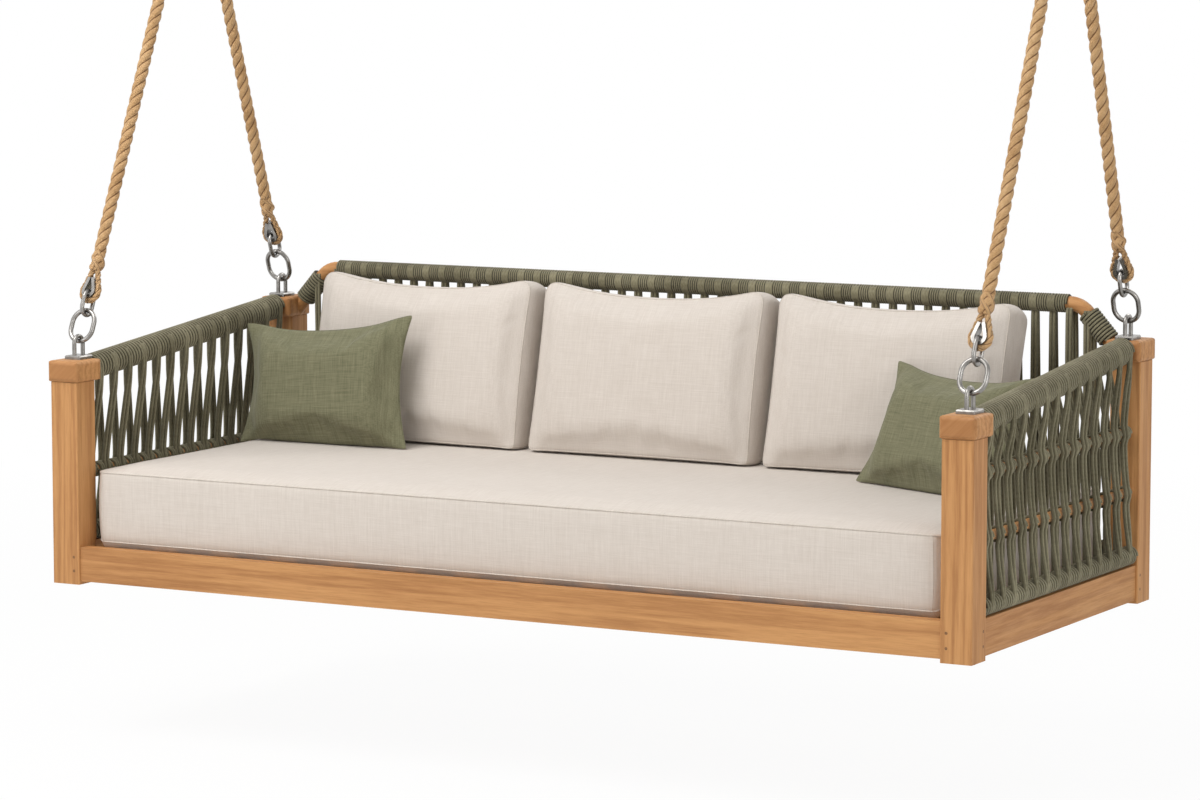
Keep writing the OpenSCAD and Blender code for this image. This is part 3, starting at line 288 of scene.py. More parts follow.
class Look(Nodes):
    """One procedural material. `settings` go straight to the shader's sockets."""

    def __init__(self, name, roughness, **settings):
        self.material = bpy.data.materials.new(name)
        self.material.use_nodes = True
        super().__init__(self.material.node_tree)
        self.shader = self.tree.nodes["Principled BSDF"]
        for key, value in dict(settings, Roughness=roughness).items():
            self.shader.inputs[key.replace("_", " ")].default_value = value

    def finish(self, base, bump=(), roughness=None):
        """Sets the colour, and layers of bump as (height, distance in metres, strength)."""
        self.tree.links.new(base, self.shader.inputs["Base Color"])
        normal = None
        for height, distance, strength in bump:
            extra = {} if normal is None else {"Normal": normal}
            normal = self.node("Bump", Height=height, Distance=distance, Strength=strength,
                               **extra)
        if normal is not None:
            self.tree.links.new(normal, self.shader.inputs["Normal"])
        if roughness is not None:
            self.tree.links.new(roughness, self.shader.inputs["Roughness"])
        return self.material


TEAK_LIGHT = colour(197, 146, 94)
TEAK_MID = colour(181, 130, 81)
TEAK_DARK = colour(150, 100, 59)
DRAWN = 0.045  # scale of the figure along the grain, against 1 across it
ALONG = {"x": (DRAWN, 1, 1), "y": (1, DRAWN, 1), "z": (1, 1, DRAWN)}
ACROSS = {"x": "Y", "y": "X", "z": "X"}
END_GRAIN = 0.62  # how far end grain goes to the dark colour
CAP_SLANT = 0.75  # turn of the figure on the post caps, in radians


def teak(name, along, seed, slant=0.0, ends=None):
    """Teak with its grain along one axis: long streaks, cathedral figure and open pores.
    Faces across the axis `ends` show darker end grain."""
    look = Look(name, 0.5, Specular_IOR_Level=0.25)
    shift = (seed * 1.37, seed * 0.71, seed * 2.13)
    grain = look.node("Mapping", Vector=look.place(rotation=(0, slant, 0)),
                      Scale=ALONG[along], Location=shift)
    figure = look.wave(grain, 17, warp=7, detail=3, direction=ACROSS[along], warp_scale=2.2)
    streaks = look.noise(grain, 140, 5, 0.7)
    fine = look.noise(grain, 420, 3, 0.6)
    tone = look.noise(look.place(location=shift), 2.2, 2)
    base = look.ramp(look.mix(0.22, streaks, figure),
                     [(0.32, TEAK_DARK), (0.49, TEAK_MID), (0.64, TEAK_LIGHT)])
    base = look.mix(look.ramp(fine, [(0.3, 0.5), (0.5, 0.0)]), base, TEAK_DARK)
    base = look.mix(0.35, base, look.ramp(tone, [(0.35, TEAK_MID), (0.65, TEAK_LIGHT)]))
    if ends:
        facing = look.node("SeparateXYZ", out="xyz".index(ends),
                           Vector=look.node("TexCoord", out=1))
        share = look.math("MULTIPLY", look.math("ABSOLUTE", facing), END_GRAIN)
        base = look.mix(share, base, TEAK_DARK)
    rough = look.ramp(streaks, [(0.3, 0.62), (0.7, 0.46)])
    return look.finish(base, [(fine, 0.0004, 0.5), (streaks, 0.0006, 0.35)], rough)


def woven(name, light, dark, contrast, seed, fuzz):
    """Linen-like cloth: slubby threads both ways, a fine weave and a soft bloom."""
    look = Look(name, 0.92, Sheen_Weight=fuzz, Sheen_Roughness=0.5, Specular_IOR_Level=0.15)
    shift = (seed, seed * 0.6, seed * 1.7)
    warp = look.noise(look.place(scale=(520, 16, 16), location=shift), 1, 4, 0.7)
    weft = look.noise(look.place(scale=(16, 520, 520), location=shift), 1, 4, 0.7)
    slub = look.noise(look.place(scale=(40, 9, 9), location=shift), 3, 3, 0.6)
    cloud = look.noise(look.place(location=shift), 5, 2)
    threads = look.math("ADD", look.math("MULTIPLY", warp, 0.5),
                        look.math("MULTIPLY", weft, 0.5))
    base = look.ramp(threads, [(0.5 - 0.2 / contrast, dark), (0.5 + 0.2 / contrast, light)])
    base = look.mix(look.ramp(slub, [(0.45, 0.0), (0.75, 0.22)]), base, dark)
    base = look.mix(look.ramp(cloud, [(0.35, 0.0), (0.7, 0.10)]), base, light)
    cross = look.math("MULTIPLY", look.wave(look.place(), 210, 0.6, 1, "X"),
                      look.wave(look.place(), 210, 0.6, 1, "Y"))
    return look.finish(base, [(cloud, 0.004, 0.25), (threads, 0.0005, 0.6),
                              (cross, 0.0003, 0.4)])


CORD_LIGHT = colour(148, 142, 116)
CORD_DARK = colour(96, 90, 68)
CORD_GROOVE_SHADE = colour(34, 31, 21)  # painted shade in the grooves between neighbouring cords
FLANK_SHIFT = 0.06  # turns the painted groove shade to where the cords touch


def cord_look(name, grooves):
    """Round polyester cord: a fine braided cover, matt, with a little colour drift, and painted
    shade on its flanks, where it lies in the grooves between neighbours.
    """
    look = Look(name, 0.82, Sheen_Weight=0.12, Specular_IOR_Level=0.2)
    plait, plait_back = (
        look.wave(look.place(scale=(around, 500, 0), lay=True), 1, 0.4, 1, "DIAGONAL")
        for around in (3, -3))
    cover = look.math("MULTIPLY", plait, plait_back)
    fibre = look.noise(look.place(scale=(14, 160, 1), lay=True), 1, 3, 0.6)
    drift = look.noise(look.place(), 9, 2)
    base = look.ramp(look.mix(0.5, fibre, drift), [(0.35, CORD_DARK), (0.68, CORD_LIGHT)])
    # The flanks of a cord, half a round apart, lie in the grooves between neighbours, and are
    # darkened there with painted shade
    lay = look.node("SeparateXYZ",
                    Vector=look.place(lay=True, location=(FLANK_SHIFT, 0, 0)))
    flank_shade_mask = look.crests(lay, 2)
    base = look.mix(look.ramp(flank_shade_mask, [(0.45, 0.0), (0.9, grooves)]), base, CORD_GROOVE_SHADE)
    return look.finish(base, [(cover, 0.0005, 0.5), (fibre, 0.0005, 0.4)])


ROPE_LIGHT = colour(228, 194, 150)
ROPE_MID = colour(208, 168, 120)
ROPE_DARK = colour(158, 114, 68)
# Painted shade for the grooves between the strands
ROPE_GROOVE_SHADE = colour(104, 68, 36)
STRANDS = 3


def rope_look():
    """Three-strand manila: yarns that run round each strand, stray fibres, and painted shade in
    the grooves between the strands.
    """
    look = Look("manila", 0.85, Sheen_Weight=0.15, Specular_IOR_Level=0.2)
    yarn = look.wave(look.place(scale=(12, -260, 0), lay=True), 1, 1.0, 2, "DIAGONAL")
    fibre = look.noise(look.place(scale=(30, 180, 1), lay=True), 1, 4, 0.7)
    drift = look.noise(look.place(), 20, 3)
    base = look.ramp(look.mix(0.4, fibre, drift),
                     [(0.3, ROPE_DARK), (0.5, ROPE_MID), (0.7, ROPE_LIGHT)])
    base = look.mix(look.ramp(yarn, [(0.1, 0.25), (0.5, 0.0)]), base, ROPE_DARK)
    lay = look.node("SeparateXYZ", Vector=look.place(lay=True))
    crest = look.crests(lay, STRANDS)
    # Painted shade in the grooves, half-way between the crests of the strands
    base = look.mix(look.ramp(crest, [(0.08, 0.9), (0.34, 0.0)]), base, ROPE_GROOVE_SHADE)
    return look.finish(base, [(yarn, 0.0012, 0.6), (fibre, 0.0008, 0.5)])


def steel_look():
    """Brushed stainless steel with faint handling marks, in tones darker than bare steel:
    painted reflection of darker surroundings.
    """
    look = Look("stainless", 0.25, Metallic=1.0)
    brushed = look.noise(look.place(scale=(1, 1, 0.08)), 1400, 2, 0.6)
    marks = look.noise(look.place(), 45, 4, 0.6)
    # Both tones are darker than bare steel: painted reflection of darker surroundings; the
    # spread between them is the handling marks
    base = look.ramp(marks, [(0.35, colour(124, 121, 117)), (0.65, colour(158, 155, 151))])
    rough = look.ramp(marks, [(0.35, 0.36), (0.65, 0.24)])
    return look.finish(base, [(brushed, 0.0001, 0.25)], rough)


def peg_look():
    """End grain of the darker pegs in the joints."""
    look = Look("peg_end", 0.6)
    rings = look.noise(look.place(), 500, 3)
    base = look.ramp(rings, [(0.35, colour(104, 70, 40)), (0.65, colour(140, 98, 58))])
    return look.finish(base, [(rings, 0.0003, 0.4)])


STEEL = steel_look()
ROPE = rope_look()
WOUND = cord_look("wound_cord", 0.96)
CORD = cord_look("strung_cord", 0.4)
LINEN = woven("oatmeal_linen", colour(216, 208, 200), colour(193, 183, 173), 1.0, 3.1, 0.12)
# Linen for the piping, its dark threads darker than the cloth's: painted shade along the seams
LINEN_SEAM_SHADED = woven("oatmeal_seam_shaded", colour(218, 210, 201), colour(182, 172, 161), 1.0, 3.1, 0.1)
SAGE = woven("sage_linen", colour(138, 135, 108), colour(86, 87, 64), 1.1, 8.4, 0.1)


def dress(material, *names):
    """Gives the CAD nodes of these names a material."""
    for name in names:
        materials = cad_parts[name].data.materials
        materials.clear()
        materials.append(material)


# ---- ropes ----
LEG_SLOPE = 17  # degrees between a leg of an eye and the rope
THIMBLE_R, THIMBLE_WALL, THIMBLE_GAP = 9, 3, 0.3
GROOVE_R = THIMBLE_R + THIMBLE_WALL + THIMBLE_GAP
SPLICE_EARLY = 26  # the splice begins this far before its legs would meet
SPLICE_FROM = (GROOVE_R + LEG_D / 2) / math.sin(math.radians(LEG_SLOPE)) - SPLICE_EARLY
SPLICE_LEN, SPLICE_D = 42, ROPE_D + 3
SPLICE_CORE = 0.93  # its core against its full thickness
TUCK_TURN, TUCK_DIPS = 0.62, 2.5  # turns and dips of a strand tucked back along the splice
TUCK_SUNK, TUCK_WAVE = 2.6, 1.6  # how deep such a strand lies, and how far it waves
STRAND_D = 14  # the rope as it is drawn tight round a thimble
LEG_R = GROOVE_R + STRAND_D / 2
ROPE_LAY, EYE_LAY = 76, 42  # length of one full twist
TUCKED = oval(9.5, 7.5, 10)  # section of a tucked strand
ROPE_STEP, ROPE_SIDES = 3.5, 30  # the rope's mesh: a ring's distance and its points


class RopeLine:
    """The frame of one rope: its origin where the ring bears in the eye, z up the rope."""

    def __init__(self, end, side):
        rear = end == "rear"
        cap_top = (REAR_CAP_Z if rear else FRONT_CAP_Z) + CAP_H
        arch = np.array([SIDES[side] * POST_X, BED_D - EYE_SETBACK if rear else EYE_SETBACK,
                         cap_top + EYE_RISE])
        pin = np.array([SIDES[side] * POST_X, HANG_Y + ENDS[end] * ROPE_FACE, PIN_Z])
        run = pin - arch
        self.z = run / np.linalg.norm(run)
        self.x = np.array([1.0, 0, 0])
        self.y = np.cross(self.z, self.x)
        self.origin = arch + self.z * EYE_ARCH
        # The stretch between the splices is where the CAD model has it
        foot, head = (np.array(p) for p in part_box(f"rope_{end}_{side}"))
        tall = (head[2] - foot[2]) / MM
        length = (tall - ROPE_D * abs(self.z[1])) / self.z[2]
        half_way = (foot + head) / 2 / MM + (0, HANG_Y, CEILING_Z)
        mid = (half_way - self.origin) @ self.z
        self.tube = (mid - length / 2, mid + length / 2)
        self.thimble = (self.tube[0] - SPLICE_LEN - SPLICE_FROM,
                        self.tube[1] + SPLICE_LEN + SPLICE_FROM)

    def at(self, p):
        """Points of the rope's frame, in millimetres, in the scene."""
        p = np.asarray(p, float)
        return bed(self.origin + p[..., :1] * self.x + p[..., 1:2] * self.y
                   + p[..., 2:] * self.z)


def laid_section(diameter):
    """Section of three strands laid up together."""
    a = np.arange(ROPE_SIDES) / ROPE_SIDES * 2 * np.pi
    strand, out = 0.34 * diameter, 0.16 * diameter  # radius, and distance from the middle
    share = 2 * np.pi / STRANDS
    q = (a + share / 2) % share - share / 2
    r = out * np.cos(q) + np.sqrt(strand ** 2 - (out * np.sin(q)) ** 2)
    return np.stack([r * np.cos(a), r * np.sin(a)], -1) * MM


def laid_rope(shape, path, diameter, lay, scale=None, start=0.0):
    """Sweeps three laid strands along a path in the scene."""
    path = np.asarray(path)
    run = np.concatenate([[0], np.cumsum(np.linalg.norm(np.diff(path, axis=0), axis=1))])
    section = laid_section(diameter)
    if scale is not None:
        section = section[None] * np.asarray(scale)[:, None, None]
    shape.tube(path, section, up=(1, 0, 0), turn=start + 2 * np.pi * run / (lay * MM))


def rope(end, side):
    """One rope between its splices, with its spliced eyes."""
    line = RopeLine(end, side)
    low, high = line.tube
    z = np.linspace(low, high, int((high - low) / ROPE_STEP))
    path = line.at(np.stack([0 * z, 0 * z, z], -1))
    shape = Shape()
    laid_rope(shape, path, ROPE_D, ROPE_LAY)
    piece = shape.build(f"laid_rope_{end}_{side}", ROPE)
    eyes = rope_eyes(line, end, side)
    body = f"rope_{end}_{side}"
    attach(piece, body, body)


def rope_eyes(line, end, side):
    """The eye loops round both thimbles, with strands tucked back through the rope."""
    shape = Shape()
    slope = math.radians(LEG_SLOPE)
    arc = np.linspace(math.pi - slope, 2 * math.pi + slope, 28)
    foot = LEG_R / math.tan(slope)
    for thimble, way in zip(line.thimble, (1, -1)):
        def at(x, y, z):
            return line.at(np.stack(np.broadcast_arrays(x, y, thimble + way * z), -1))
        leg = np.linspace(0, 1, 9)[1:]
        tip = np.array([0, foot * math.cos(slope) + LEG_R * math.sin(slope)])
        right = np.array([LEG_R * math.cos(slope), LEG_R * math.sin(slope)])
        down = tip + (right * (-1, 1) - tip) * leg[::-1][:, None]
        x = np.concatenate([down[:, 0], LEG_R * np.cos(arc), -down[::-1, 0]])
        z = np.concatenate([down[:, 1], LEG_R * np.sin(arc), down[::-1, 1]])
        laid_rope(shape, at(x, 0 * x, z), STRAND_D, EYE_LAY)
        s = np.linspace(0, 1, 26)
        bulge = np.interp(s, [0, 0.3, 0.65, 1],
                          [STRAND_D + 5, SPLICE_D, SPLICE_D, ROPE_D]) / ROPE_D
        run = SPLICE_FROM + SPLICE_LEN * s
        start = -way * 2 * np.pi * SPLICE_LEN / ROPE_LAY
        laid_rope(shape, at(0 * s, 0 * s, run), ROPE_D, ROPE_LAY * way, SPLICE_CORE * bulge,
                  start)
        for k in range(STRANDS):
            turn = 2 * np.pi * (k / STRANDS - way * TUCK_TURN * s)
            dip = np.cos(STRANDS * turn + 2 * np.pi * TUCK_DIPS * s)
            r = ROPE_D / 2 * bulge - TUCK_SUNK + TUCK_WAVE * dip
            fade = np.interp(s, [0, 0.12, 0.8, 1], [0.5, 1, 1, 0.25])
            strand = TUCKED[None] * fade[:, None, None]
            shape.tube(at(r * np.cos(turn), r * np.sin(turn), run - 2 + 6 * s), strand,
                       up=line.x)
    piece = shape.build(f"spliced_eyes_{end}_{side}", ROPE)
    attach(piece, f"rope_{end}_{side}", f"rope_eyes_{end}_{side}")
    return piece


for end in ENDS:
    for side in SIDES:
        rope(end, side)


# ---- windings ----
CORD_W = 7.4  # width of one cord; a band is two side by side
BAND_W = 2 * CORD_W
BACK_PROUD = 1.2  # the back's bands stand this far proud of its thin winding
BAND_SUNK = CORD_T / 2 + 0.6  # from a winding's outside to a band's middle
WRAP_R = {"arm": ARM_RAIL_D / 2 + CORD_T, "back": BACK_RAIL_D / 2 + BACK_CORD_T + BACK_PROUD,
          "low": LOW_RAIL_D / 2 + CORD_T}
# Widths of the turns, before they are made to fill the stretch between two bands
TURN_W = {"arm": 9.8, "back": 5.5, "corner": 7.2, "low_side": 10.7, "low_back": 6}
TURN_MID, TURN_THICK = 0.52, 0.96  # shares of the cord work's thickness
TURN_OVERLAP = 1.03  # a turn's width against its place
ARM_FRONT = np.array([CAP_D - CAP_OVERHANG, FRONT_CAP_Z + ARM_SEAT])
ARM_REAR = np.array([BED_D + CAP_OVERHANG - CAP_D, REAR_CAP_Z + ARM_SEAT])
ARM_RUN = ARM_REAR - ARM_FRONT
ARM_LEN = float(np.linalg.norm(ARM_RUN))
ARM_RISE = math.atan2(ARM_RUN[1], ARM_RUN[0])
LOW_RAIL_X = BED_W / 2 - APRON_MID
LOW_RAIL_Y = BED_D - APRON_MID
SIDE_BANDS, BACK_BANDS = 14, 47
BAND_END = 16  # from the end of an arm rail to the first band
BAND_SPREAD = 0.2  # how far the bands part at a dowel, in pitches
SIDE_PITCH = (ARM_REAR[0] - ARM_FRONT[0] - 2 * BAND_END) / (SIDE_BANDS - 1)
CAP_IN_X = POST_X - POST_W / 2 - CAP_OVERHANG
BACK_SPAN = CAP_IN_X - 13.5  # half of the width that the bands and one more place share
BACK_PITCH = 2 * BACK_SPAN / (BACK_BANDS + 1)
SIDE_BAND_Y = [ARM_FRONT[0] + BAND_END + SIDE_PITCH * i for i in range(SIDE_BANDS)]
BACK_BAND_X = [(i - (BACK_BANDS - 1) / 2) * BACK_PITCH for i in range(BACK_BANDS)]


def turns_between(bands, start, stop, width):
    """Middles and widths of the turns from start to stop, with two at each band."""
    places, edge = [], start
    for b in [*bands, None]:
        until = stop if b is None else b - BAND_W / 2
        n = max(0, round((until - edge) / width))
        if n:
            w = (until - edge) / n
            places += [(edge + (k + 0.5) * w, w) for k in range(n)]
        if b is not None:
            places += [(b - CORD_W / 2, CORD_W), (b + CORD_W / 2, CORD_W)]
            edge = b + BAND_W / 2
    return places


def winding(shape, origin, along, rail_d, places, steps=18, thick=CORD_T):
    """One cord wound along an axis through the given turns, `steps` rings to a turn."""
    along = np.asarray(along, float)
    side = np.cross((0, 0, 1.0), along)
    side /= np.linalg.norm(side)
    over = np.cross(along, side)
    centres, widths = np.array(places).T
    t = np.arange(-0.5, len(places) - 0.5 + 0.5 / steps, 1 / steps)
    at = np.interp(t, np.arange(len(places)), centres)
    last = len(places) - 1
    at[t < 0] = centres[0] + t[t < 0] * widths[0]
    at[t > last] = centres[-1] + (t[t > last] - last) * widths[-1]
    width = np.interp(t, np.arange(len(places)), widths)
    a = 2 * np.pi * t
    r = rail_d / 2 + thick * TURN_MID
    radial = np.cos(a)[:, None] * side + np.sin(a)[:, None] * over
    path = np.asarray(origin) + at[:, None] * along + r * radial
    # Section in the plane of the axis: width along it, thickness outwards
    unit = oval(1, 1) / MM
    rings = (path[:, None]
             + unit[None, :, :1] * width[:, None, None] * along * TURN_OVERLAP
             + unit[None, :, 1:] * (thick * TURN_THICK) * radial[:, None])
    shape.skin(bed(rings), np.arange(len(path)) * 2 * np.pi * r / steps * MM, flip=True)


def cord_piece(shape, name, material, node):
    """Puts cord work in the place of its CAD node."""
    attach(shape.build(name, material), "bed", node)


CORNER_END = np.array([CAP_IN_X, REAR_CAP_Z + CORNER_SEAT])
CORNER_RUN = CORNER_END - (ELBOW_X, BACK_RAIL_Z)
CORNER_LEN = float(np.linalg.norm(CORNER_RUN))
CORNER_DROP = math.atan2(-CORNER_RUN[1], CORNER_RUN[0])
ELBOW_BACK = ELBOW_R * math.tan(CORNER_DROP / 2)  # from an elbow's corner to its bend
CORNER_BARE = 16  # the corner windings stop this far short of the caps


def windings():
    """The cord wound round all the rails."""
    axis = (0, math.cos(ARM_RISE), math.sin(ARM_RISE))
    for side, s in SIDES.items():
        shape = Shape()
        winding(shape, (s * POST_X, *ARM_FRONT), axis, ARM_RAIL_D,
                turns_between([], 1.0, ARM_LEN - 1.0, TURN_W["arm"]), 28)
        cord_piece(shape, f"arm_wrap_{side}", WOUND, f"arm_winding_{side}")
    half = ELBOW_X - ELBOW_BACK - 3
    shape = Shape()
    inner = [x for x in BACK_BAND_X if abs(x) < half - BAND_W]
    winding(shape, (0, REAR_POST_Y, BACK_RAIL_Z), (1, 0, 0), BACK_RAIL_D,
            turns_between(inner, -half, half, TURN_W["back"]), thick=BACK_CORD_T)
    cord_piece(shape, "back_wrap", WOUND, "back_winding")
    shape = Shape()
    for s in SIDES.values():
        axis = (s * math.cos(CORNER_DROP), 0, -math.sin(CORNER_DROP))
        winding(shape, (s * ELBOW_X, REAR_POST_Y, BACK_RAIL_Z), axis, BACK_RAIL_D,
                turns_between([], ELBOW_BACK + 2, CORNER_LEN - CORNER_BARE,
                              TURN_W["corner"]))
    cord_piece(shape, "corner_wraps", WOUND, "corner_windings")
    shape = Shape()
    for s in SIDES.values():
        winding(shape, (s * LOW_RAIL_X, 0, LOW_RAIL_Z), (0, 1, 0), LOW_RAIL_D,
                turns_between([], POST_W + 1, BED_D - POST_W - 1, TURN_W["low_side"]), 20)
    half = BED_W / 2 - POST_W - 1
    winding(shape, (0, LOW_RAIL_Y, LOW_RAIL_Z), (1, 0, 0), LOW_RAIL_D,
            turns_between(BACK_BAND_X, -half, half, TURN_W["low_back"]), 14)
    cord_piece(shape, "low_wraps", WOUND, "low_windings")


windings()


# ---- upright cords ----
DOWEL_GAP = 0.3  # between a dowel and the bands that pass it
DOWEL_BITE = 3  # how much thinner the turns round a dowel take it to be
BOW, WIDE_BOW = 2, 4  # the bands' further distance, and at the right side's low dowel
DOWEL_REACH = 17  # a band bends round a dowel within this height of it
DOWEL_CLOSING = 0.24  # and comes this much closer to the net's plane, mm a mm
DOWEL_RETURN = 0.004  # and nearer to its own line, as a share a mm
PAIR_TURN = 0.6  # sine of the turn of a band's two cords between the rails
# How a band lies on its rails, in degrees from level, at its top and at its foot
SIDE_TOP, SIDE_FOOT = (50, 25, 0), (0, -28, -60)
BACK_TOP = {"rail": (60, 20, -20, -50, -74), "corner": (25, 0), "elbow": (-50, -40)}
BACK_FOOT = (0, -30, -60)
BACK_TOGETHER = 14  # how far the two layers of the back run down together
ELBOW_BEFORE, ELBOW_AFTER = 6, 4  # bands this near an elbow hang on it
SIDE_STEP, BACK_STEP = 7, 12  # from ring to ring of a strung cord
SIDE_CORD = oval(CORD_W + 1.2, CORD_T + 0.4, 12)
BACK_CORD = oval(CORD_W + 0.4, CORD_T * 0.92, 10)


def arm_axis_z(y):
    return ARM_FRONT[1] + (y - ARM_FRONT[0]) * math.tan(ARM_RISE)


def dowel_x(z):
    """Distance of a dowel from the bed's middle: on the net's slope between its rails."""
    top = arm_axis_z(BED_D / 2)
    return LOW_RAIL_X + (POST_X - LOW_RAIL_X) * (z - LOW_RAIL_Z) / (top - LOW_RAIL_Z)


def rail_arc(x, z, r, out, angles, tall=1.0):
    """Points of an arc round a rail's axis (x, z), on its side `out`. A sloping rail's
    upright section is `tall` times as high as wide."""
    return [(x + out * r * math.cos(a), z + tall * r * math.sin(a))
            for a in np.radians(angles)]


def side_cords(side, s):
    """The net of one side: outer and inner bands from the arm rail to the low rail."""
    # Turns of the inner bands round each dowel, in half cords from the band's middle
    turns = ({LOW_DOWEL_Z: (-5, -3, -1, 1, 3, 5)} if side == "left"
             else {LOW_DOWEL_Z: (-1, 1), HIGH_DOWEL_Z: (-3, -1, 1, 3)})
    # At a dowel the outer bands sit this far along Y from their line, the inner ones opposite
    aside = -s * SIDE_PITCH * BAND_SPREAD
    off = DOWEL_D / 2 + CORD_T / 2 + DOWEL_GAP
    shape = Shape()
    for y0 in SIDE_BAND_Y:
        for out in (1, -1):
            way = s * out
            top = rail_arc(s * POST_X, arm_axis_z(y0), WRAP_R["arm"] - BAND_SUNK, way,
                           SIDE_TOP)
            foot = rail_arc(s * LOW_RAIL_X, LOW_RAIL_Z, WRAP_R["low"] - BAND_SUNK, way,
                            SIDE_FOOT)
            points = [(x, y0, z) for x, z in top]
            points.append((s * POST_X + way * (WRAP_R["arm"] - CORD_T / 2 - 1.5), y0,
                           arm_axis_z(y0) - WRAP_R["arm"] - 4))
            for z in sorted(turns, reverse=True):
                bow = off + (WIDE_BOW if z == LOW_DOWEL_Z and side == "right" else BOW)
                for dz in (DOWEL_REACH, 0, -DOWEL_REACH):
                    points.append((s * dowel_x(z) + way * (bow - abs(dz) * DOWEL_CLOSING),
                                   y0 + aside * out * (1 - abs(dz) * DOWEL_RETURN),
                                   z + dz))
            points += [(x, y0, z) for x, z in foot]
            path = smooth_path(points, SIDE_STEP)
            for k in (-1, 1):
                # From side by side on the rails to one half behind the other in between
                apart = np.interp(path[:, 2], (LOW_RAIL_Z + 20, LOW_RAIL_Z + 60,
                                               arm_axis_z(y0) - 70, arm_axis_z(y0) - 30),
                                  (0, PAIR_TURN, PAIR_TURN, 0))[:, None]
                spread = k * CORD_W / 2 * np.concatenate(
                    [apart, np.sqrt(1 - apart ** 2), 0 * apart], 1)
                shape.tube(bed(path + spread), SIDE_CORD, up=(1, 0, 0))
    # The cords of each inner band go once more round the dowel
    for z in turns:
        for y0 in SIDE_BAND_Y:
            places = [(y0 - aside + k * CORD_W / 2, CORD_W - 0.4) for k in turns[z]]
            winding(shape, (s * dowel_x(z), 0, z), (0, 1, 0), DOWEL_D - DOWEL_BITE, places)
    cord_piece(shape, f"side_net_{side}", CORD, f"side_cords_{side}")


def back_cords():
    """The net of the back: two layers of bands that part below the rail."""
    shape = Shape()
    slope = math.tan(CORNER_DROP)
    r_top, r_low = WRAP_R["back"] - BAND_SUNK, WRAP_R["low"] - BAND_SUNK
    for x0 in BACK_BAND_X:
        past = abs(x0) - (ELBOW_X - ELBOW_BACK)
        held_by, rail_z, tall = "rail", BACK_RAIL_Z, 1.0
        if past > 2 * ELBOW_BACK - ELBOW_AFTER:
            held_by, tall = "corner", 1 / math.cos(CORNER_DROP)
            rail_z = BACK_RAIL_Z - (abs(x0) - ELBOW_X) * slope
        elif past > -ELBOW_BEFORE:
            held_by, rail_z = "elbow", BACK_RAIL_Z - max(past, 0) ** 2 / (2 * ELBOW_R)
        for out in (1, -1):
            points = rail_arc(REAR_POST_Y, rail_z, r_top, out, BACK_TOP[held_by], tall)
            if held_by == "rail":  # close together under the rail, so that openings show
                points.append((points[-1][0] + out * 0.3, points[-1][1] - BACK_TOGETHER))
            points += rail_arc(LOW_RAIL_Y, LOW_RAIL_Z, r_low, out, BACK_FOOT)
            path = smooth_path([(x0, y, z) for y, z in points], BACK_STEP)
            for k in (-1, 1):
                shape.tube(bed(path + (k * CORD_W / 2, 0, 0)), BACK_CORD, up=(0, 1, 0))
    cord_piece(shape, "back_net", CORD, "back_cords")


for side, s in SIDES.items():
    side_cords(side, s)
back_cords()


# ---- cushions ----
LOW_REACH = 9  # the mattress underside falls to the slats within this distance
FOOT_CORNER = 0.4  # the lower corners of a back cushion are this much as round as the upper
CROWN = 2.8  # how fast a face rises from its seam
SLACK_W, SLACK_H = 2, 4  # a form starts this much smaller than the cushion
CLOTH = dict(quality=4, mass=0.3, tension_stiffness=12, compression_stiffness=12,
             shear_stiffness=6, bending_stiffness=0.6, use_pressure=True,
             vertex_group_shrink="seam", shrink_min=0.0)
FRAMES = 20  # of cloth simulation
EDGE_CAP, CAP_GROWTH = 3, 0.3  # a point moves 3 mm at most at the edge, and more inside
COLUMNS = 24  # in which a cushion's lowest points are looked for


def grid_lines(half, cell, close):
    """Places of the grid lines across a cushion, with one more near each edge if `close`."""
    lines = np.linspace(-half, half, round(2 * half / cell) + 1)
    return np.insert(lines, (1, -1), (close - half, half - close)) if close else lines


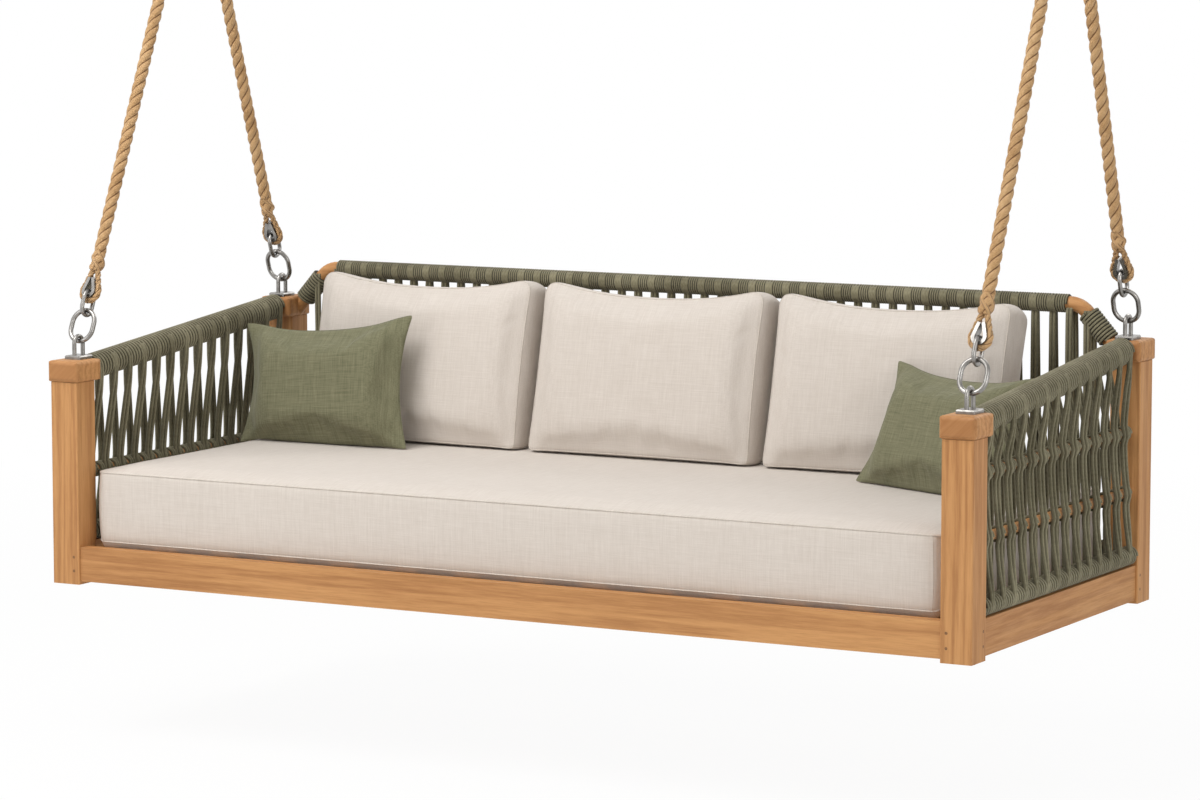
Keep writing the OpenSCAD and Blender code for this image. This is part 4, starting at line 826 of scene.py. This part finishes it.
def box_grid(w, h, t, corner, draw, low, high, reach, cell, rows, bulge):
    """A cushion as a grid of quads. Its border has `rows` rows; none makes a pillow.
    `draw` is how far the sides, the upper edge and the lower edge are drawn in, and
    `bulge` how far the border stands out between its seams."""
    close = LOW_REACH if low != high else 0
    x, y = np.meshgrid(grid_lines(w / 2, cell, close), grid_lines(h / 2, cell, close),
                       indexing="ij")
    inside_x, inside_y = w / 2 - abs(x), h / 2 - abs(y)
    corner = np.where((y < 0) & (rows > 0) & (close == 0), FOOT_CORNER, 1) * corner
    a = np.clip((abs(x) - (w / 2 - corner)) / corner, 0, 1)
    b = np.clip((abs(y) - (h / 2 - corner)) / corner, 0, 1)
    both = (a > 0) & (b > 0)
    x = np.where(both, np.sign(x) * (w / 2 - corner + corner * a * np.sqrt(1 - b * b / 2)), x)
    y = np.where(both, np.sign(y) * (h / 2 - corner + corner * b * np.sqrt(1 - a * a / 2)), y)
    draw_y = np.where(y > 0, draw[1], draw[2])
    px = x - np.sign(x) * draw[0] * (1 - (2 * y / h) ** 2) * abs(2 * x / w)
    py = y - np.sign(y) * draw_y * (1 - (2 * x / w) ** 2) * abs(2 * y / h)

    def rise(d):
        return 1 - (1 - np.clip(d / reach, 0, 1)) ** CROWN
    dome = rise(inside_x) * rise(inside_y)
    top = np.stack([px, py, t / 2 + high * dome], -1).reshape(-1, 3)
    under = np.clip(np.minimum(inside_x, inside_y) / LOW_REACH, 0, 1) if close else dome
    bottom = np.stack([px, py, -t / 2 - low * under], -1).reshape(-1, 3)
    number = np.arange(x.size).reshape(x.shape)
    rim = np.concatenate([number[:-1, 0], number[-1, :-1], number[:0:-1, -1], number[0, :0:-1]])
    cells = np.stack([number[:-1, :-1], number[1:, :-1], number[1:, 1:], number[:-1, 1:]], -1)
    cells = cells.reshape(-1, 4)
    points, faces = [top], [cells]
    count = len(top)
    if rows:
        under = cells[:, ::-1] + count
        points.append(bottom)
        rings = [rim]
        count += len(bottom)
        outward = (top[rim] - top[rim].mean(0)) * (1, 1, 0)
        outward /= np.linalg.norm(outward / (w, h, 1), axis=1)[:, None] * max(w, h)
        for k in range(1, rows):
            f = k / rows
            points.append(top[rim] * (1 - f) + bottom[rim] * f
                          + outward * bulge * math.sin(math.pi * f))
            rings.append(np.arange(len(rim)) + count)
            count += len(rim)
        rings.append(rim + len(top))
        for p, q in zip(rings, rings[1:]):
            faces.append(np.stack([p, q, np.roll(q, -1), np.roll(p, -1)], -1))
        faces.append(under)
    else:
        inner = np.ones(count, bool)
        inner[rim] = False
        index = np.arange(count)
        index[inner] = count + np.arange(inner.sum())
        points.append(bottom[inner])
        faces.append(index[cells[:, ::-1]])
        rings = [rim]
    return np.concatenate(points), np.concatenate(faces), rings


def spots(mesh):
    return np.array([v.co for v in mesh.vertices])


def evaluated(piece):
    """The piece with its modifiers applied."""
    return piece.evaluated_get(bpy.context.evaluated_depsgraph_get())


def inflate(piece, seams, pressure, cap, shrink):
    """Blows the cushion up as cloth, and keeps each point within `cap` of its start."""
    start = spots(piece.data)
    group = piece.vertex_groups.new(name="seam")
    group.add([int(i) for s in seams for i in s], 1.0, "REPLACE")
    cloth = piece.modifiers.new("cloth", "CLOTH")
    for key, value in dict(CLOTH, uniform_pressure_force=pressure,
                           shrink_max=shrink).items():
        setattr(cloth.settings, key, value)
    cloth.settings.effector_weights.gravity = 0
    cloth.collision_settings.use_collision = False
    scene = bpy.context.scene
    for number in range(FRAMES):
        scene.frame_set(number + 1)
    end = spots(evaluated(piece).data)
    piece.modifiers.clear()
    move = end - start
    far = np.linalg.norm(move, axis=1)
    inside = np.min(abs(start[:, :2]).max(0) - abs(start[:, :2]), axis=1)
    most = np.minimum(cap, EDGE_CAP * MM + CAP_GROWTH * inside)
    start = start + move * np.minimum(1, most / np.maximum(far, 1e-9))[:, None]
    scene.frame_set(1)
    return start


def slump(where, centre, rotation, reach):
    """Lets the lower edge of a standing cushion down on the mattress along all its length."""
    turn = np.array(rotation)
    world = where @ turn.T + np.array(centre)
    foot = where.copy()
    marks = np.linspace(where[:, 0].min(), where[:, 0].max(), COLUMNS + 1)
    column = np.digitize(where[:, 0], marks)
    lowest = [where[abs(column - k - 1) <= 1, 1].min() for k in range(COLUMNS)]
    foot[:, 1] = np.interp(where[:, 0], (marks[1:] + marks[:-1]) / 2, lowest)
    high = (where[:, 1] - foot[:, 1]) / (reach * MM)
    foot = foot @ turn.T + np.array(centre)
    share = np.clip(1 - high, 0, 1) ** 2 * (1 + 2 * np.clip(high, 0, 1))
    for i in np.nonzero(share > 0)[0]:
        world[i, 2] -= share[i] * max(0, foot[i, 2] - bedding(foot[i]))
    for i in np.nonzero(where[:, 1] < 0)[0]:
        world[i, 2] = max(world[i, 2], bedding(world[i]) + 0.2 * MM)
    return (world - np.array(centre)) @ turn


def bedding(p):
    """Height of the mattress under a point of the scene."""
    hit = mattress_tree.ray_cast(Vector((p[0], p[1], mattress_top + 1)), Vector((0, 0, -1)))[0]
    return hit.z if hit else mattress_top - 1


def cushion(name, node, centre, rotation, form):
    """One stuffed piece: its form, blown up, kept near its CAD solid, with its seams."""
    w, h, t, corner, rows, bulge = form.w, form.h, form.t, form.corner, form.rows, form.bulge
    points, faces, rings = box_grid(w - SLACK_W - 2 * bulge, h - SLACK_H - bulge, t, corner,
                                    form.draw, form.low * form.flat, form.high * form.flat,
                                    form.reach, form.cell, rows, bulge)
    seams = [rings[0], rings[-1]] if rows else rings
    mesh = bpy.data.meshes.new(name)
    mesh.from_pydata((points * MM).tolist(), [], faces.tolist())
    piece = smooth_piece(name, mesh, form.cloth)
    where = inflate(piece, seams, form.pressure, form.cap * MM, form.shrink)
    limit = np.array([w / 2, h / 2, t / 2 + form.high]) * MM
    floor = np.array([w / 2, h / 2, t / 2 + form.low]) * MM
    where = np.clip(where, -floor, limit)
    if form.settle:
        where = slump(where, centre, rotation, form.settle)
    mesh.vertices.foreach_set("co", where.ravel())
    mesh.update()
    piece.matrix_world = Matrix.Translation(centre) @ rotation.to_4x4()
    finer = piece.modifiers.new("finer", "SUBSURF")
    finer.levels = finer.render_levels = 1
    shown = evaluated(piece)
    piece.modifiers.clear()
    piece.data = bpy.data.meshes.new_from_object(shown)
    piece.data.name = name
    settled = spots(piece.data)
    shape = Shape()
    for seam in seams:
        loop = settled[seam]
        out = loop - loop.mean(0)
        out[:, 2] = 0
        out /= np.linalg.norm(out, axis=1)[:, None]
        path = loop + out * form.piping * 0.2 * MM
        shape.tube(path, oval(form.piping, form.piping, 6), closed=True)
    if form.low != form.high:
        upright_seams(shape, settled, rings, w, h, corner)
    trim = shape.build(name + "_piping", form.seam_cloth)
    trim.matrix_world = piece.matrix_world
    attach(piece, node, node)
    attach(trim, node)
    return piece


def upright_seams(shape, settled, rings, w, h, corner):
    """Fine seams down the border, where each rounded corner begins."""
    for sx in (-1, 1):
        for sy in (-1, 1):
            start = np.array([sx * (w / 2 - corner), sy * h / 2]) * MM
            k = int(np.argmin(np.linalg.norm(settled[rings[0], :2] - start, axis=1)))
            shape.tube(settled[[ring[k] for ring in rings]], oval(1.6, 1.6, 6), up=(1, 0, 0))


def middle(node):
    """Middle of a CAD node's box."""
    low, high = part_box(node)
    return (Vector(low) + Vector(high)) / 2


def lie(lean, tilt=0, turn=0):
    """The turn of a cushion drawn flat, stood up facing the front and leaned back."""
    return (Matrix.Rotation(math.radians(turn), 3, "Z")
            @ Matrix.Rotation(math.radians(90 - lean), 3, "X")
            @ Matrix.Rotation(math.radians(tilt), 3, "Z"))


# In millimetres: w by h, t thick at the seams, and crowned by `low` under and `high` over
# them, of which the share `flat` is there before `pressure` blows the cloth up. `cap` is how
# far it may move, and `settle` the height within which it sinks on the mattress.
MATTRESS = Form(w=1956, h=796, t=148, corner=28, draw=(2, 2, 2), low=14, high=12, flat=1,
                reach=150, bulge=4, cell=16, rows=9, pressure=3, cap=6, shrink=0.015,
                settle=0, piping=2.8, fill=0.8, slot="linen", cloth=LINEN,
                seam_cloth=LINEN_SEAM_SHADED)
BACK_CUSHION = Form(w=556, h=361, t=92, corner=30, draw=(4, 20, 0), low=30, high=30,
                    flat=0.65, reach=140, bulge=9, cell=10, rows=8, pressure=4, cap=14,
                    shrink=0.015, settle=230, piping=2.4, fill=0.7, slot="linen",
                    cloth=LINEN, seam_cloth=LINEN_SEAM_SHADED)
PILLOW = Form(w=436, h=272, t=5, corner=10, draw=(21, 18, 4), low=53.5, high=53.5,
              flat=0.85, reach=140, bulge=0, cell=8, rows=0, pressure=4, cap=14,
              shrink=0.03, settle=240, piping=1.5, fill=0.6, slot="sage", cloth=SAGE,
              seam_cloth=SAGE)
BACK_LEAN = 14
PILLOW_LIES = {"left": (15, 5, 0), "right": (26, 0, -24)}  # lean, tilt and turn

mattress_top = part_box("mattress")[1][2]
mattress_mid = middle("mattress")
mattress_mid.z = mattress_top - (MATTRESS.high + MATTRESS.t / 2) * MM
mattress = cushion("seat_mattress", "mattress", mattress_mid, Matrix.Identity(3), MATTRESS)
mattress_tree = BVHTree.FromPolygons(
    [mattress.matrix_world @ v.co for v in mattress.data.vertices],
    [tuple(f.vertices) for f in mattress.data.polygons])
for name in ("left", "middle", "right"):
    node = "back_cushion_" + name
    cushion("back_pad_" + name, node, middle(node), lie(BACK_LEAN), BACK_CUSHION)
for name, angles in PILLOW_LIES.items():
    node = "pillow_" + name
    cushion("lumbar_" + name, node, middle(node), lie(*angles), PILLOW)


# ---- wood and metal that stay as the CAD model has them ----
def dress_all():
    """Teak with the grain along each member, steel for the metal, dark ends for the pegs."""
    grain = {"front_apron": "x", "rear_apron": "x", "left_apron": "y", "right_apron": "y",
             "post_caps": "x", "seat_slats": "y", "slat_cleats": "x", "back_rail": "x",
             "rail_elbows": "x", "corner_rails": "x", "low_rails": "y", "side_dowels": "y",
             "arm_rail_left": "y", "arm_rail_right": "y"}
    grain.update((f"post_{end}_{side}", "z") for end in ENDS for side in SIDES)
    for seed, (name, along) in enumerate(grain.items()):
        slant, ends = (CAP_SLANT, "y") if name == "post_caps" else (0.0, None)
        dress(teak("teak_" + name, along, seed + 1, slant, ends), name)
    dress(peg_look(), "joint_pegs")
    metal = [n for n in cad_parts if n.split("_")[0] in
             ("ceiling", "swing", "hanger", "thimbles", "link", "ring", "bed")]
    dress(STEEL, *metal, "rope_pin_left", "rope_pin_right")


dress_all()


# ---- floor, light and background ----
def stage_floor():
    """A pale floor below the hanging bed, white where a camera or a mirror sees it."""
    size, drop = 30, 0.32
    mesh = bpy.data.meshes.new("floor")
    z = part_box("post_front_left")[0][2] - drop
    mesh.from_pydata([(-size, -size, z), (size, -size, z), (size, size, z), (-size, size, z)],
                     [], [(0, 1, 2, 3)])
    look = Look("pale_floor", 0.9, Base_Color=(0.82, 0.82, 0.81, 1))
    glow = look.node("Emission", Color=(1, 1, 1, 1), Strength=1.0)
    far = look.node("VectorMath", out=1, props={"operation": "LENGTH"},
                    i0=look.place(location=(0, 0, -z)))
    white = look.ramp(look.math("DIVIDE", far, 8.0), [(0.25, 0.94), (0.6, 1.0)])
    mixed = look.node("MixShader", i0=look.math("MULTIPLY", look.seen(), white),
                      i1=look.shader.outputs[0], i2=glow)
    look.tree.links.new(mixed, look.tree.nodes["Material Output"].inputs["Surface"])
    smooth_piece("floor", mesh, look.material)


def area_light(name, at, size, watts):
    data = bpy.data.lights.new(name, "AREA")
    data.shape, data.size, data.energy = "SQUARE", size, watts
    lamp = put(name, data)
    lamp.location = at
    lamp.rotation_euler = (BED_AT - Vector(at)).to_track_quat("-Z", "Y").to_euler()


def world_light(strength):
    """A soft even light, with a white background for cameras, gloss and glass."""
    world = bpy.data.worlds.new("studio")
    bpy.context.scene.world = world
    world.use_nodes = True
    nodes = Nodes(world.node_tree)
    nodes.tree.nodes.clear()
    soft = nodes.node("Background", Color=(1, 0.99, 0.97, 1), Strength=strength)
    white = nodes.node("Background", Color=(1, 1, 1, 1), Strength=1.0)
    mixed = nodes.node("MixShader", i0=nodes.seen(), i1=soft, i2=white)
    output = nodes.tree.nodes.new("ShaderNodeOutputWorld")
    nodes.tree.links.new(mixed, output.inputs["Surface"])


stage_floor()
world_light(0.45)
BED_AT = Vector((0, 0, -1.2))
area_light("key", (-1.6, -2.6, 3.4), 3.5, 240)
area_light("fill", (-3.5, -5.5, 0.6), 3.0, 58)
area_light("side", (5.5, -2.5, 0.2), 3.0, 85)
area_light("rim", (1.0, 5.0, 3.0), 3.0, 90)
bpy.context.scene.view_settings.view_transform = "Standard"
